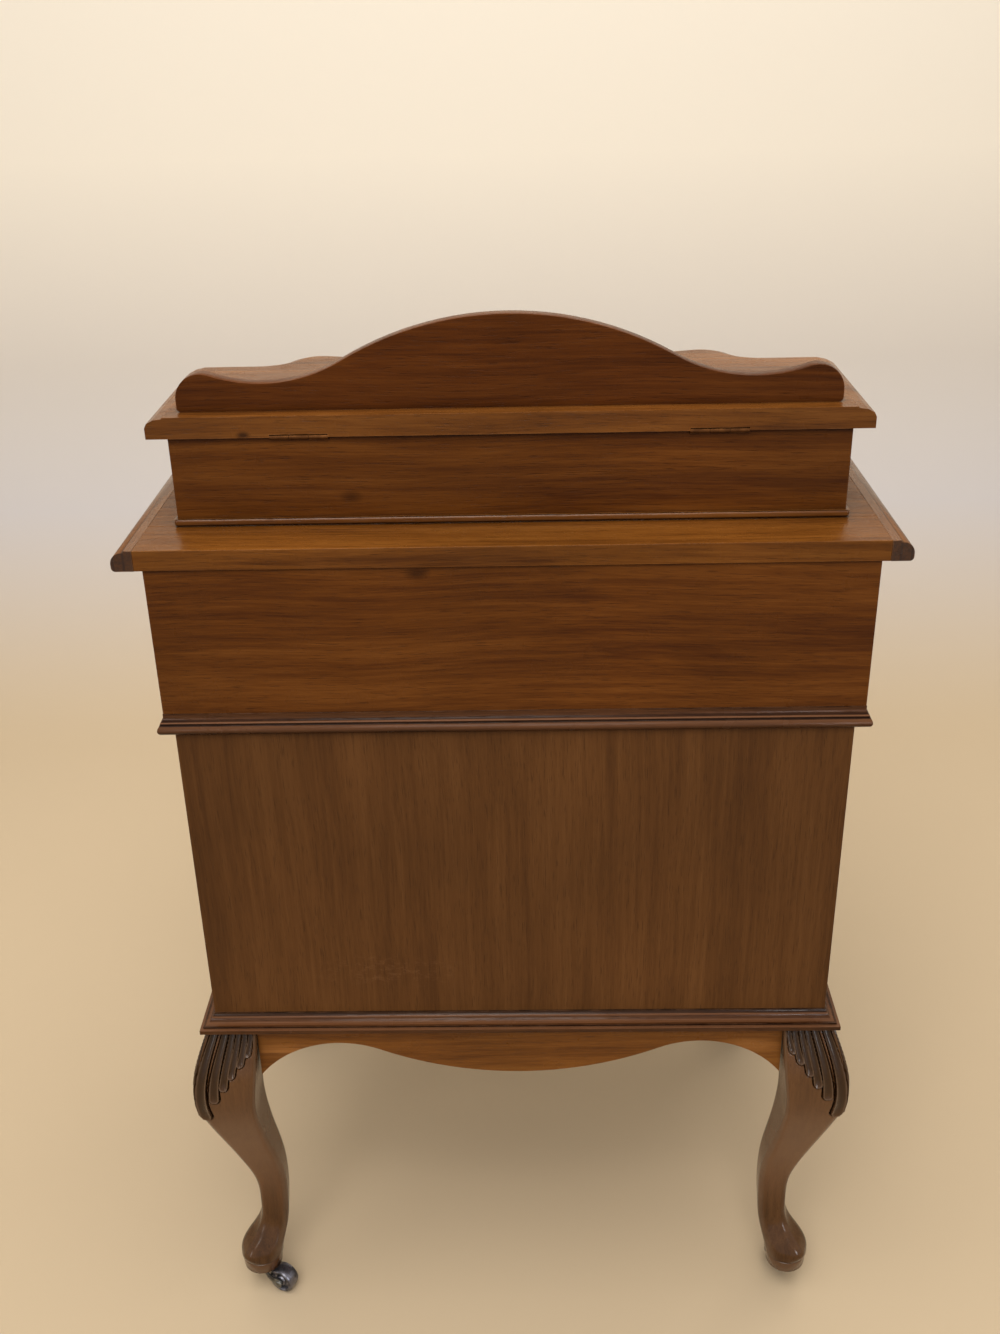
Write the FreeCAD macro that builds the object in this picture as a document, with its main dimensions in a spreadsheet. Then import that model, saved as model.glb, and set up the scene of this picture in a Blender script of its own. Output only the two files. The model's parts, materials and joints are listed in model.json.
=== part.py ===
import FreeCAD, Part
import math
import operator
import os
from types import SimpleNamespace

import Sketcher

# Driving dimensions of the desk in millimetres, with castor angles in degrees.
# The sitter faces +Y, so the writing slope is at -Y and the drawers open to +X.
SIZES = {
    # Stand
    "castor_height": 24.6,
    "leg_height": 290.9,
    "post_block_height": 60,
    "sole_radius": 17.5,
    "sole_top_radius": 18.6,
    "apron_thickness": 20,
    "apron_face": 2,
    "ear_drop": 52.5,
    "arch_drop": 18.3,
    "long_arch_inset": 68.5,
    "long_centre_drop": 50.7,
    "short_arch_inset": 45,
    "short_centre_drop": 36,
    # Castors
    "wheel_radius": 12.5,
    "wheel_width": 12,
    "wheel_edge": 2,
    "trail": 22,
    "axle_radius": 2.5,
    "axle_head": 0.8,
    "stem_radius": 3,
    "stem_depth": 24,
    "stem_plate_radius": 11,
    "stem_plate_thickness": 2.2,
    "stud_head_radius": 4.8,
    "stud_head_thickness": 1.6,
    "fork_plate_radius": 10,
    "fork_plate_thickness": 2.9,
    "cheek_thickness": 2.5,
    "cheek_neck": 4.5,
    "cheek_boss": 6,
    "running_clearance": 0.05,
    "side_clearance": 0.3,
    "back_right_angle": 153,
    "back_left_angle": -80,
    "front_right_angle": -62,
    "front_left_angle": -118,
    # Carcass
    "carcass_side_inset": 7,
    "carcass_depth": 360,
    "carcass_height": 268.5,
    "carcass_bottom_thickness": 14,
    "carcass_back_thickness": 12,
    "carcass_front_thickness": 14,
    "carcass_side_thickness": 16,
    "base_projection": 11.6,
    "base_fillet_height": 3.9,
    "base_ledge": 2.8,
    "base_step": 1.6,
    "base_cove_height": 4.6,
    "base_cove_round": 6.5,
    "base_arris": 2.3,
    "base_arris_height": 0.5,
    "base_neck": 0.5,
    "base_neck_round": 4.2,
    # Drawers and false drawers
    "dust_board_thickness": 10,
    "bottom_drawer_height": 92,
    "middle_drawer_height": 84,
    "drawer_front_thickness": 16,
    "drawer_side_gap": 0.8,
    "drawer_under_gap": 0.3,
    "drawer_over_gap": 1,
    "drawer_end_gap": 9,
    "drawer_wall": 8,
    "drawer_bottom_thickness": 6,
    "drawer_wall_drop": 8,
    "false_front_thickness": 5,
    "knob_inset": 76.2,
    "knob_collar_radius": 8,
    "knob_collar_length": 2,
    "knob_neck_radius": 5.5,
    "knob_neck_length": 6,
    "knob_radius": 13.5,
    "knob_crown_length": 13,
    "knob_length": 21,
    # Scroll brackets
    "bracket_set_back": 5,
    "bracket_height": 178,
    "bracket_thickness": 26,
    "bracket_inset": 27,
    "bracket_lip": 20,
    "bracket_curl": 24,
    "bracket_curl_round": 26,
    "bracket_toe": 34,
    "bracket_toe_height": 38,
    "bracket_toe_round": 40,
    "bracket_hollow_round": 120,
    # Slope box
    "desk_width": 525,
    "desk_depth": 510,
    "desk_floor_thickness": 16,
    "desk_box_height": 116,
    "desk_back_thickness": 12,
    "desk_side_thickness": 12,
    "desk_front_thickness": 14,
    "slope_drop": 60,
    "waist_shelf": 3.4,
    "waist_bead_height": 7.2,
    "waist_bead_round": 4.4,
    "waist_fillet": 2.8,
    "waist_fillet_height": 1.9,
    "waist_cove_height": 4.4,
    "waist_cove_round": 5,
    "waist_neck": 0.4,
    # Desk top and writing lid
    "top_side_overhang": 21.5,
    "desk_top_thickness": 15.5,
    "flat_top_depth": 264,
    "top_back_overhang": 2,
    "edge_strip_width": 16,
    "edge_foot_round": 3,
    "edge_flat": 6,
    "edge_ovolo_width": 10,
    "edge_ovolo_round": 8.5,
    "edge_quirk": 1.5,
    "writing_lid_overhang": 12,
    "leather_side_margin": 42,
    "leather_rear_margin": 40,
    "leather_front_margin": 42,
    "leather_recess": 2,
    "leather_thickness": 2.1,
    # Stationery box
    "stationery_side_inset": 39,
    "stationery_height": 67,
    "stationery_set_back": 48,
    "stationery_board": 10,
    "bulge_side_inset": 90,
    "bulge_depth": 175,
    "bulge_round": 18,
    "recess_side_inset": 42,
    "recess_depth": 143,
    "centre_depth": 155,
    "bead_height": 6,
    "bead_projection": 2.5,
    "divider_thickness": 5,
    "divider_height": 46,
    "divider_depth": 118,
    "divider_side_inset": 163,
    # Stationery lid and gallery
    "seam_gap": 0.3,
    "lid_side_overhang": 14.75,
    "stationery_lid_thickness": 15.7,
    "lid_back_overhang": 4,
    "lid_front_overhang": 12,
    "lid_corner_round": 16,
    "lid_thumb_width": 13,
    "lid_thumb_height": 6.6,
    "lid_quirk": 0.9,
    "gallery_side_inset": 21.35,
    "gallery_thickness": 11,
    "gallery_set_in": 14,
    "crest_height": 66.1,
    "valley_side_inset": 62.4,
    "valley_height": 19.8,
    "valley_round": 117.7,
    "gallery_end_round": 18.5,
    "gallery_foot_round": 3,
    # Butt hinges
    "hinge_length": 42,
    "hinge_barrel": 2,
    "hinge_plate": 9,
    "hinge_pin": 1,
    "hinge_bite": 0.15,
    "stationery_hinge_inset": 95,
    "writing_hinge_inset": 98,
}

# Cabriole leg sections: which end the level is counted from, that distance,
# how far the section reaches out of and in from the carcass corner, and its corner rounding.
LEG_SECTIONS = {
    "post": ("top", 0, 6.5, -34, 3),
    "shoulder": ("top", 18.5, 13.3, -33.4, 6),
    "knee": ("top", 47.5, 21.5, -31.5, 10),
    "under_knee": ("top", 75.5, 22, -29, 11),
    "calf": ("top", 103.5, 15, -30, 10),
    "shin": ("top", 132.5, 5.5, -33, 9),
    "low_shin": ("top", 165.5, -5, -37.3, 8.5),
    "ankle_top": ("foot", 87.4, -13, -38.7, 8.5),
    "ankle": ("foot", 63.4, -12.7, -37.6, 8.5),
    "instep": ("foot", 39.4, -6, -34.7, 11),
    "pad_bulge": ("foot", 20.4, 8.2, -30.5, 17),
    "pad_rim": ("foot", 13.9, 9.1, -30.1, 18.9),
}
SECTION_SIZES = ("level", "out", "in", "round")

for section, (end, *numbers) in LEG_SECTIONS.items():
    for what, number in zip(SECTION_SIZES, numbers):
        SIZES[f"{section}_{what}"] = number

doc = FreeCAD.newDocument("davenport_desk")
sheet = doc.addObject("Spreadsheet::Sheet", "sizes")
OPERATIONS = {"+": operator.add, "-": operator.sub, "*": operator.mul, "/": operator.truediv}


class Size:
    """A length of the desk: its number, and the sheet expression that gives it."""

    def __init__(self, value, text):
        self.value = value
        self.text = text

    def __add__(self, other):
        return joined(self, "+", other)

    def __radd__(self, other):
        return joined(other, "+", self)

    def __sub__(self, other):
        return joined(self, "-", other)

    def __rsub__(self, other):
        return joined(other, "-", self)

    def __mul__(self, other):
        return joined(self, "*", other)

    def __rmul__(self, other):
        return joined(other, "*", self)

    def __truediv__(self, other):
        return joined(self, "/", other)

    def __neg__(self):
        return joined(0, "-", self)


def as_size(item):
    return item if isinstance(item, Size) else Size(float(item), str(item))


def joined(left, sign, right):
    left, right = as_size(left), as_size(right)
    value = OPERATIONS[sign](left.value, right.value)
    return Size(value, f"({left.text} {sign} {right.text})")


def square(size):
    return size * size


def root(size):
    return Size(math.sqrt(size.value), f"sqrt({size.text})")


def cosine(angle):
    return Size(math.cos(math.radians(angle.value)), f"cos({angle.text} * 1deg)")


def sine(angle):
    return Size(math.sin(math.radians(angle.value)), f"sin({angle.text} * 1deg)")


def set_cell(name, text):
    """Adds a sheet row that holds a name and its number or formula."""
    row = set_cell.row = set_cell.row + 1
    sheet.set(f"A{row}", name)
    sheet.set(f"B{row}", text)
    sheet.setAlias(f"B{row}", name)


set_cell.row = 0


def named(name, size):
    """Keeps a worked-out length in the sheet under its own name."""
    set_cell(name, "=" + size.text.replace("sizes.", ""))
    return Size(size.value, f"sizes.{name}")


for size_name, size_value in SIZES.items():
    set_cell(size_name, str(size_value))
d = SimpleNamespace(**{name: Size(value, f"sizes.{name}") for name, value in SIZES.items()})

# Levels from the floor up
stand_top = named("stand_top", d.castor_height + d.leg_height)
carcass_base = named("carcass_base", stand_top + d.carcass_bottom_thickness)
carcass_top = named("carcass_top", carcass_base + d.carcass_height)
well_floor = named("well_floor", carcass_top + d.desk_floor_thickness)
top_under = named("top_under", well_floor + d.desk_box_height)
top_level = named("top_level", top_under + d.desk_top_thickness)
lid_seat = named("lid_seat", top_level + d.stationery_height)
lid_under = named("lid_under", lid_seat + d.seam_gap)
lid_top = named("lid_top", lid_under + d.stationery_lid_thickness)

# Half widths
desk_half = named("desk_half", d.desk_width / 2)
carcass_half = named("carcass_half", desk_half - d.carcass_side_inset)
top_half = named("top_half", desk_half + d.top_side_overhang)
strip_seam = named("strip_seam", top_half - d.edge_strip_width)
leather_half = named("leather_half", strip_seam - d.leather_side_margin)
box_half = named("box_half", top_half - d.stationery_side_inset)
lid_half = named("lid_half", box_half + d.lid_side_overhang)
gallery_half = named("gallery_half", lid_half - d.gallery_side_inset)
bulge_across = named("bulge_across", box_half - d.bulge_side_inset)
recess_across = named("recess_across", box_half - d.recess_side_inset)
valley_across = named("valley_across", gallery_half - d.valley_side_inset)

# Planes from back to front; the origin is midway between the knees and the writing lid's edge
lid_reach = d.desk_depth + d.writing_lid_overhang
y_back = named("y_back", (lid_reach - d.under_knee_out) / 2)
y_front = named("y_front", y_back - d.carcass_depth)
y_mid = named("y_mid", y_back - d.carcass_depth / 2)
y_top_back = named("y_top_back", y_back + d.top_back_overhang)
y_box_back = named("y_box_back", y_back - d.stationery_set_back)
y_seam = named("y_seam", y_top_back - d.flat_top_depth)
y_desk_front = named("y_desk_front", y_back - d.desk_depth)
y_lid_back = named("y_lid_back", y_box_back + d.lid_back_overhang)
slope = named("slope", d.slope_drop / (y_seam - y_desk_front))

# Serpentine front of the stationery box: hollows tangent to the two bulges
bulge_heart = named("bulge_heart", d.bulge_depth - d.bulge_round)
recess_round = named(
    "recess_round",
    (square(recess_across - bulge_across) + square(d.recess_depth - bulge_heart)
     - square(d.bulge_round)) / (2 * (d.bulge_depth - d.recess_depth)),
)
centre_round = named(
    "centre_round",
    (square(bulge_across) + square(d.centre_depth - bulge_heart) - square(d.bulge_round))
    / (2 * (d.bulge_depth - d.centre_depth)),
)

# Gallery outline: crest, valleys and rounded ends tangent to each other
crest_over_valley = d.crest_height - d.valley_height
crest_round = named(
    "crest_round",
    (square(valley_across) + square(d.valley_round - crest_over_valley) - square(d.valley_round))
    / (2 * crest_over_valley),
)
crest_heart = named("crest_heart", d.crest_height - crest_round)
valley_heart = named("valley_heart", d.valley_height + d.valley_round)
end_across = named("end_across", gallery_half - d.gallery_end_round)
end_heart = named(
    "end_heart",
    valley_heart - root(square(d.valley_round + d.gallery_end_round) - square(end_across - valley_across)),
)
sheet.recompute()

nodes = []


def node(part, label):
    """Registers a finished piece under the name of its file."""
    part.Label = label
    nodes.append(part)
    return part


def bind(part, path, size):
    part.setExpression(path, as_size(size).text)


def place(part, at):
    for axis, size in zip("xyz", at):
        bind(part, f"Placement.Base.{axis}", size)


def turn(part, axis, angle):
    part.Placement.Rotation = FreeCAD.Rotation(FreeCAD.Vector(*axis), as_size(angle).value)
    bind(part, "Placement.Rotation.Angle", angle)


def box(name, low, high):
    """A board from its lowest to its highest corner."""
    board = doc.addObject("Part::Box", name)
    for side, start, stop in zip(("Length", "Width", "Height"), low, high):
        bind(board, side, stop - start)
    place(board, low)
    return board


def cylinder(name, radius, height, at):
    rod = doc.addObject("Part::Cylinder", name)
    bind(rod, "Radius", radius)
    bind(rod, "Height", height)
    place(rod, at)
    return rod


def group(name, pieces):
    """Separate solids kept together in one piece."""
    together = doc.addObject("Part::Compound", name)
    together.Links = pieces
    return together


def fuse(name, pieces):
    whole = doc.addObject("Part::MultiFuse", name)
    whole.Shapes = pieces
    return whole


def cut(name, base, tools):
    result = doc.addObject("Part::Cut", name)
    result.Base = base
    result.Tool = tools[0] if len(tools) == 1 else group(name + "_cutters", tools)
    return result


def mirror(name, source, normal, through_y=None):
    """A copy mirrored left to right, or front to back through the plane given."""
    copy = doc.addObject("Part::Mirroring", name)
    copy.Source = source
    copy.Normal = FreeCAD.Vector(*normal)
    if through_y is not None:
        bind(copy, "Base.y", through_y)
    return copy


ACROSS = (1, 0, 0)
ALONG = (0, 1, 0)
UPWARD = (0, 0, 1)


def arc_between(start, end, radius, side):
    """The shorter arc from start to end, turning left or right on the way."""
    chord = end - start
    middle = (start + end) * 0.5
    height = math.sqrt(max(radius ** 2 - (chord.Length / 2) ** 2, 0))
    left = FreeCAD.Vector(-chord.y, chord.x, 0).normalize()
    heart = middle + left * (height if side == "left" else -height)
    circle = Part.Circle(heart, FreeCAD.Vector(0, 0, 1), radius)
    angles = [math.atan2(point.y - heart.y, point.x - heart.x) for point in (start, end)]
    first, last = angles if side == "left" else reversed(angles)
    return Part.ArcOfCircle(circle, first, last)


def draw(sketch, corners):
    """Draws a closed outline. A corner is (x, y), or (x, y, radius, side) where an arc leaves it."""
    first = sketch.GeometryCount
    points = [FreeCAD.Vector(as_size(c[0]).value, as_size(c[1]).value, 0) for c in corners]
    ends = []
    for index, corner in enumerate(corners):
        start, end = points[index], points[(index + 1) % len(points)]
        if len(corner) == 2:
            sketch.addGeometry(Part.LineSegment(start, end), False)
            ends.append((1, 2))
        else:
            radius, side = corner[2:]
            sketch.addGeometry(arc_between(start, end, as_size(radius).value, side), False)
            ends.append((1, 2) if side == "left" else (2, 1))
    for index in range(len(corners)):
        after = (index + 1) % len(corners)
        joint = (first + index, ends[index][1], first + after, ends[after][0])
        sketch.addConstraint(Sketcher.Constraint("Coincident", *joint))
    for index, corner in enumerate(corners):
        place_of = (-1, 1, first + index, ends[index][0])
        for kind, size in zip(("DistanceX", "DistanceY"), corner):
            hold(sketch, Sketcher.Constraint(kind, *place_of, as_size(size).value), size)
        if len(corner) > 2:
            radius = as_size(corner[2])
            hold(sketch, Sketcher.Constraint("Radius", first + index, radius.value), radius)


def hold(sketch, constraint, size):
    index = sketch.addConstraint(constraint)
    bind(sketch, f"Constraints[{index}]", size)


def sketch_on(body, role, name, loops, offset=None):
    """A sketch of closed outlines on one of the body's own planes."""
    sketch = body.newObject("Sketcher::SketchObject", name)
    plane = next(item for item in body.Origin.OriginFeatures if item.Role == role)
    sketch.AttachmentSupport = (plane, [""])
    sketch.MapMode = "FlatFace"
    if offset is not None:
        bind(sketch, "AttachmentOffset.Base.z", offset)
    for corners in loops:
        draw(sketch, corners)
    return sketch


def padded(name, role, loops, length, at, symmetric=False):
    """A board sawn to an outline and padded to its thickness."""
    body = doc.addObject("PartDesign::Body", name)
    pad = body.newObject("PartDesign::Pad", name + "_pad")
    pad.Profile = sketch_on(body, role, name + "_outline", loops)
    pad.SideType = "Symmetric" if symmetric else "One side"
    bind(pad, "Length", length)
    place(body, at)
    return body


def turned(name, role, corners, axis, at):
    """A piece turned on a lathe: its half outline revolved about a sketch axis."""
    body = doc.addObject("PartDesign::Body", name)
    sketch = sketch_on(body, role, name + "_outline", [corners])
    revolution = body.newObject("PartDesign::Revolution", name + "_turning")
    revolution.Profile = sketch
    revolution.ReferenceAxis = (sketch, [axis])
    revolution.Angle = 360
    place(body, at)
    return body


def rectangle(half_x, half_y):
    return [(-half_x, -half_y), (half_x, -half_y), (half_x, half_y), (-half_x, half_y)]


def base_profile(start):
    """A fillet and a step at the foot, then a wide cove and a small one that meet at an arris."""
    lip = start + d.base_projection
    step = lip - d.base_ledge
    cove_foot = d.base_fillet_height + d.base_step
    arris = start + d.base_arris
    arris_foot = cove_foot + d.base_cove_height
    return [
        (start, 0),
        (lip, 0),
        (lip, d.base_fillet_height),
        (step, d.base_fillet_height),
        (step, cove_foot, d.base_cove_round, "right"),
        (arris, arris_foot),
        (arris, arris_foot + d.base_arris_height, d.base_neck_round, "right"),
        (start + d.base_neck, d.carcass_bottom_thickness),
        (start, d.carcass_bottom_thickness),
    ]


def waist_profile(start):
    """A bead at the foot, a fillet above it, then a cove that fades into the desk's side."""
    fillet = start + d.waist_fillet
    cove_foot = d.waist_bead_height + d.waist_fillet_height
    neck = start + d.waist_neck
    return [
        (start, 0),
        (start + d.waist_shelf, 0, d.waist_bead_round, "left"),
        (fillet, d.waist_bead_height),
        (fillet, cove_foot, d.waist_cove_round, "right"),
        (neck, cove_foot + d.waist_cove_height),
        (neck, d.desk_floor_thickness),
        (start, d.desk_floor_thickness),
    ]


def ring_moulding(name, half_x, half_y, profile, at):
    """A moulding mitred round a rectangle."""
    body = doc.addObject("PartDesign::Body", name)
    path = sketch_on(body, "XY_Plane", name + "_path", [rectangle(half_x, half_y)])
    section = sketch_on(body, "XZ_Plane", name + "_section", [profile])
    pipe = body.newObject("PartDesign::AdditivePipe", name + "_sweep")
    pipe.Profile = section
    pipe.Spine = (path, [f"Edge{side}" for side in range(1, 5)])
    pipe.Transition = "Right corner"
    place(body, at)
    return body


# Legs: lofted through rounded squares, with a square post block that takes the aprons
def rounded_square(low, high, radius):
    return [
        (low + radius, low),
        (high - radius, low, radius, "left"),
        (high, low + radius),
        (high, high - radius, radius, "left"),
        (high - radius, high),
        (low + radius, high, radius, "left"),
        (low, high - radius),
        (low, low + radius, radius, "left"),
    ]


def leg_section(body, section):
    level, out, inward, rounding = (getattr(d, f"{section}_{what}") for what in SECTION_SIZES)
    from_top = LEG_SECTIONS[section][0] == "top"
    height = stand_top - level if from_top else d.castor_height + level
    outline = rounded_square(inward, out, rounding)
    return sketch_on(body, "XY_Plane", f"leg_{section}", [outline], height)


def cabriole_leg():
    body = doc.addObject("PartDesign::Body", "leg_sweep")
    sections = [leg_section(body, section) for section in LEG_SECTIONS]
    loft = body.newObject("PartDesign::AdditiveLoft", "leg_loft")
    loft.Profile = sections[0]
    loft.Sections = sections[1:]
    place(body, (carcass_half, y_back, 0))
    inner_x = carcass_half + d.post_in
    inner_y = y_back + d.post_in
    block = box(
        "leg_post_block",
        (inner_x, inner_y, stand_top - d.post_block_height),
        (carcass_half, y_back, stand_top),
    )
    sole = doc.addObject("Part::Cone", "leg_sole")
    bind(sole, "Radius1", d.sole_radius)
    bind(sole, "Radius2", d.sole_top_radius)
    bind(sole, "Height", d.pad_rim_level)
    place(sole, (*swivel, d.castor_height))
    socket = cylinder("leg_socket", d.stem_radius, d.stem_depth, (*swivel, d.castor_height))
    return cut("leg_back_right", fuse("leg_whole", [body, block, sole]), [socket])


def four_corners(name, back_right):
    """The piece of the back right corner and its mirrored copies, by corner name."""
    back_left = mirror(f"{name}_back_left", back_right, ACROSS)
    front_right = mirror(f"{name}_front_right", back_right, ALONG, y_mid)
    front_left = mirror(f"{name}_front_left", back_left, ALONG, y_mid)
    return {
        "back_right": back_right,
        "back_left": back_left,
        "front_right": front_right,
        "front_left": front_left,
    }


foot_shift = named("foot_shift", (d.pad_rim_out + d.pad_rim_in) / 2)
swivel = (carcass_half + foot_shift, y_back + foot_shift)
for corner, leg in four_corners("leg", cabriole_leg()).items():
    node(leg, f"leg_{corner}")


# Aprons: two arches and a drop, each arc tangent to the next
def apron_outline(half_span, inset, centre_drop):
    arch_fall = d.ear_drop - d.arch_drop
    arch_round = (square(inset) + square(arch_fall)) / (2 * arch_fall)
    arch_across = half_span - inset
    drop_fall = centre_drop - d.arch_drop
    both_rounds = (square(arch_across) + square(drop_fall)) / (2 * drop_fall)
    drop_round = both_rounds - arch_round
    share = drop_round / both_rounds
    meet_x = arch_across * share
    meet_z = drop_round - centre_drop - (both_rounds - drop_fall) * share
    return [
        (-half_span, 0),
        (-half_span, -d.ear_drop, arch_round, "right"),
        (-meet_x, meet_z, drop_round, "left"),
        (meet_x, meet_z, arch_round, "right"),
        (half_span, -d.ear_drop),
        (half_span, 0),
    ]


back_span = carcass_half + d.post_in
back_outline = apron_outline(back_span, d.long_arch_inset, d.long_centre_drop)
apron_back = padded(
    "apron_back", "XZ_Plane", [back_outline], d.apron_thickness,
    (0, y_back + d.apron_face, stand_top),
)
side_span = d.carcass_depth / 2 + d.post_in
side_outline = apron_outline(side_span, d.short_arch_inset, d.short_centre_drop)
apron_right = padded(
    "apron_right", "YZ_Plane", [side_outline], d.apron_thickness,
    (carcass_half + d.apron_face - d.apron_thickness, y_mid, stand_top),
)
node(apron_back, "apron_back")
node(mirror("apron_front", apron_back, ALONG, y_mid), "apron_front")
node(apron_right, "apron_right")
node(mirror("apron_left", apron_right, ACROSS), "apron_left")

# Castors: a stem in each foot, a fork that swivels on its stud, and a wheel on the fork's axle
plate_bottom = d.castor_height - d.stem_plate_thickness
fork_top = plate_bottom - d.side_clearance
fork_under = fork_top - d.fork_plate_thickness
head_top = fork_under - d.side_clearance
head_bottom = head_top - d.stud_head_thickness
stem_corners = [
    (0, head_bottom),
    (d.stud_head_radius, head_bottom),
    (d.stud_head_radius, head_top),
    (d.stem_radius, head_top),
    (d.stem_radius, plate_bottom),
    (d.stem_plate_radius, plate_bottom),
    (d.stem_plate_radius, d.castor_height),
    (d.stem_radius, d.castor_height),
    (d.stem_radius, d.castor_height + d.stem_depth),
    (0, d.castor_height + d.stem_depth),
]
stem = turned("castor_stem_back_right", "XZ_Plane", stem_corners, "V_Axis", (*swivel, 0))
node(group("castor_stems", list(four_corners("castor_stem", stem).values())), "castor_stems")

cheek_inside = named("cheek_inside", d.wheel_width / 2 + d.side_clearance)
cheek_outside = named("cheek_outside", cheek_inside + d.cheek_thickness)
boss_side = named("boss_side", d.cheek_boss * 0.6)
boss_rise = named("boss_rise", d.cheek_boss * 0.8)


def castor_fork(name, at, angle):
    """Swivel plate with two cheeks that hold the axle behind the stud."""
    plate = cylinder(f"{name}_plate", d.fork_plate_radius, d.fork_plate_thickness, (0, 0, fork_under))
    cheek_corners = [
        (-d.cheek_neck, fork_under),
        (d.trail - boss_side, d.wheel_radius - boss_rise, d.cheek_boss, "left"),
        (d.trail + d.cheek_boss, d.wheel_radius, d.cheek_boss, "left"),
        (d.trail + boss_side, d.wheel_radius + boss_rise),
        (d.cheek_neck, fork_top),
        (-d.cheek_neck, fork_top),
    ]
    cheek = padded(
        f"{name}_cheek", "XZ_Plane", [cheek_corners], d.cheek_thickness, (0, -cheek_inside, 0)
    )
    twin = mirror(f"{name}_cheek_twin", cheek, ALONG)
    stud_hole = cylinder(
        f"{name}_stud_hole", d.stem_radius + d.running_clearance, d.castor_height, (0, 0, 0)
    )
    axle_length = 2 * (cheek_outside + d.axle_head)
    axle_at = (d.trail, cheek_outside + d.axle_head, d.wheel_radius)
    tools = []
    for use in ("hole", "pin"):
        rod = cylinder(f"{name}_axle_{use}", d.axle_radius, axle_length, axle_at)
        turn(rod, ACROSS, 90)
        tools.append(rod)
    axle_hole, axle = tools
    fork = cut(f"{name}_body", fuse(f"{name}_whole", [plate, cheek, twin]), [stud_hole, axle_hole])
    castor = group(name, [fork, axle])
    place(castor, at)
    turn(castor, UPWARD, angle)
    return castor


def castor_wheel(name, at, angle):
    half = d.wheel_width / 2
    rim = d.wheel_radius
    edge = d.wheel_edge
    bore = d.axle_radius + d.running_clearance
    corners = [
        (bore, -half),
        (rim - edge, -half, edge, "left"),
        (rim, edge - half),
        (rim, half - edge, edge, "left"),
        (rim - edge, half),
        (bore, half),
    ]
    spot = (at[0] + d.trail * cosine(angle), at[1] + d.trail * sine(angle), d.wheel_radius)
    wheel = turned(name, "XY_Plane", corners, "V_Axis", spot)
    turn(wheel, UPWARD, angle)
    return wheel


swivel_front = 2 * y_mid - swivel[1]
castor_places = {
    "back_right": (swivel[0], swivel[1], 0),
    "back_left": (-swivel[0], swivel[1], 0),
    "front_right": (swivel[0], swivel_front, 0),
    "front_left": (-swivel[0], swivel_front, 0),
}
for corner, spot in castor_places.items():
    castor_angle = getattr(d, f"{corner}_angle")
    node(castor_fork(f"castor_fork_{corner}", spot, castor_angle), f"castor_fork_{corner}")
    node(castor_wheel(f"castor_wheel_{corner}", spot, castor_angle), f"castor_wheel_{corner}")

# Carcass: bottom, front, back and left side; the right side is open for the drawers
y_back_inside = named("y_back_inside", y_back - d.carcass_back_thickness)
y_front_inside = named("y_front_inside", y_front + d.carcass_front_thickness)
x_side_inside = named("x_side_inside", d.carcass_side_thickness - carcass_half)
for board, low, high in (
    ("carcass_bottom", (y_front, stand_top), (y_back, carcass_base)),
    ("carcass_back", (y_back_inside, carcass_base), (y_back, carcass_top)),
    ("carcass_front", (y_front, carcass_base), (y_front_inside, carcass_top)),
):
    node(box(board, (-carcass_half, *low), (carcass_half, *high)), board)
base_moulding = ring_moulding(
    "base_moulding", carcass_half, d.carcass_depth / 2, base_profile(carcass_half), (0, y_mid, stand_top)
)
node(base_moulding, "base_moulding")

# Drawer openings from the bottom up, with a dust board under the upper two
middle_level = named("middle_level", carcass_base + d.bottom_drawer_height + d.dust_board_thickness)
top_drawer_level = named("top_drawer_level", middle_level + d.middle_drawer_height + d.dust_board_thickness)
OPENINGS = {
    "bottom": (carcass_base, middle_level - d.dust_board_thickness),
    "middle": (middle_level, top_drawer_level - d.dust_board_thickness),
    "top": (top_drawer_level, carcass_top),
}
dust_boards = [
    box(
        f"dust_board_under_{drawer}",
        (x_side_inside, y_front_inside, OPENINGS[drawer][0] - d.dust_board_thickness),
        (carcass_half, y_back_inside, OPENINGS[drawer][0]),
    )
    for drawer in ("middle", "top")
]
node(group("dust_boards", dust_boards), "dust_boards")

y_drawer_front = named("y_drawer_front", y_front_inside + d.drawer_side_gap)
y_drawer_back = named("y_drawer_back", y_back_inside - d.drawer_side_gap)
x_face_inside = named("x_face_inside", carcass_half - d.drawer_front_thickness)
knob_corners = [
    (0, 0),
    (d.knob_length, 0, d.knob_radius, "left"),
    (d.knob_crown_length, d.knob_radius, d.knob_radius, "left"),
    (d.knob_neck_length, d.knob_neck_radius),
    (d.knob_collar_length, d.knob_neck_radius),
    (d.knob_collar_length, d.knob_collar_radius),
    (0, d.knob_collar_radius),
]


def knob_pair(name, level):
    """Two turned knobs on the face of a drawer that opens to +X."""
    pair = []
    for side, y in (("near", y_drawer_front + d.knob_inset), ("far", y_drawer_back - d.knob_inset)):
        pair.append(turned(f"{name}_{side}", "XZ_Plane", knob_corners, "H_Axis", (carcass_half, y, level)))
    return pair


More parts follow.
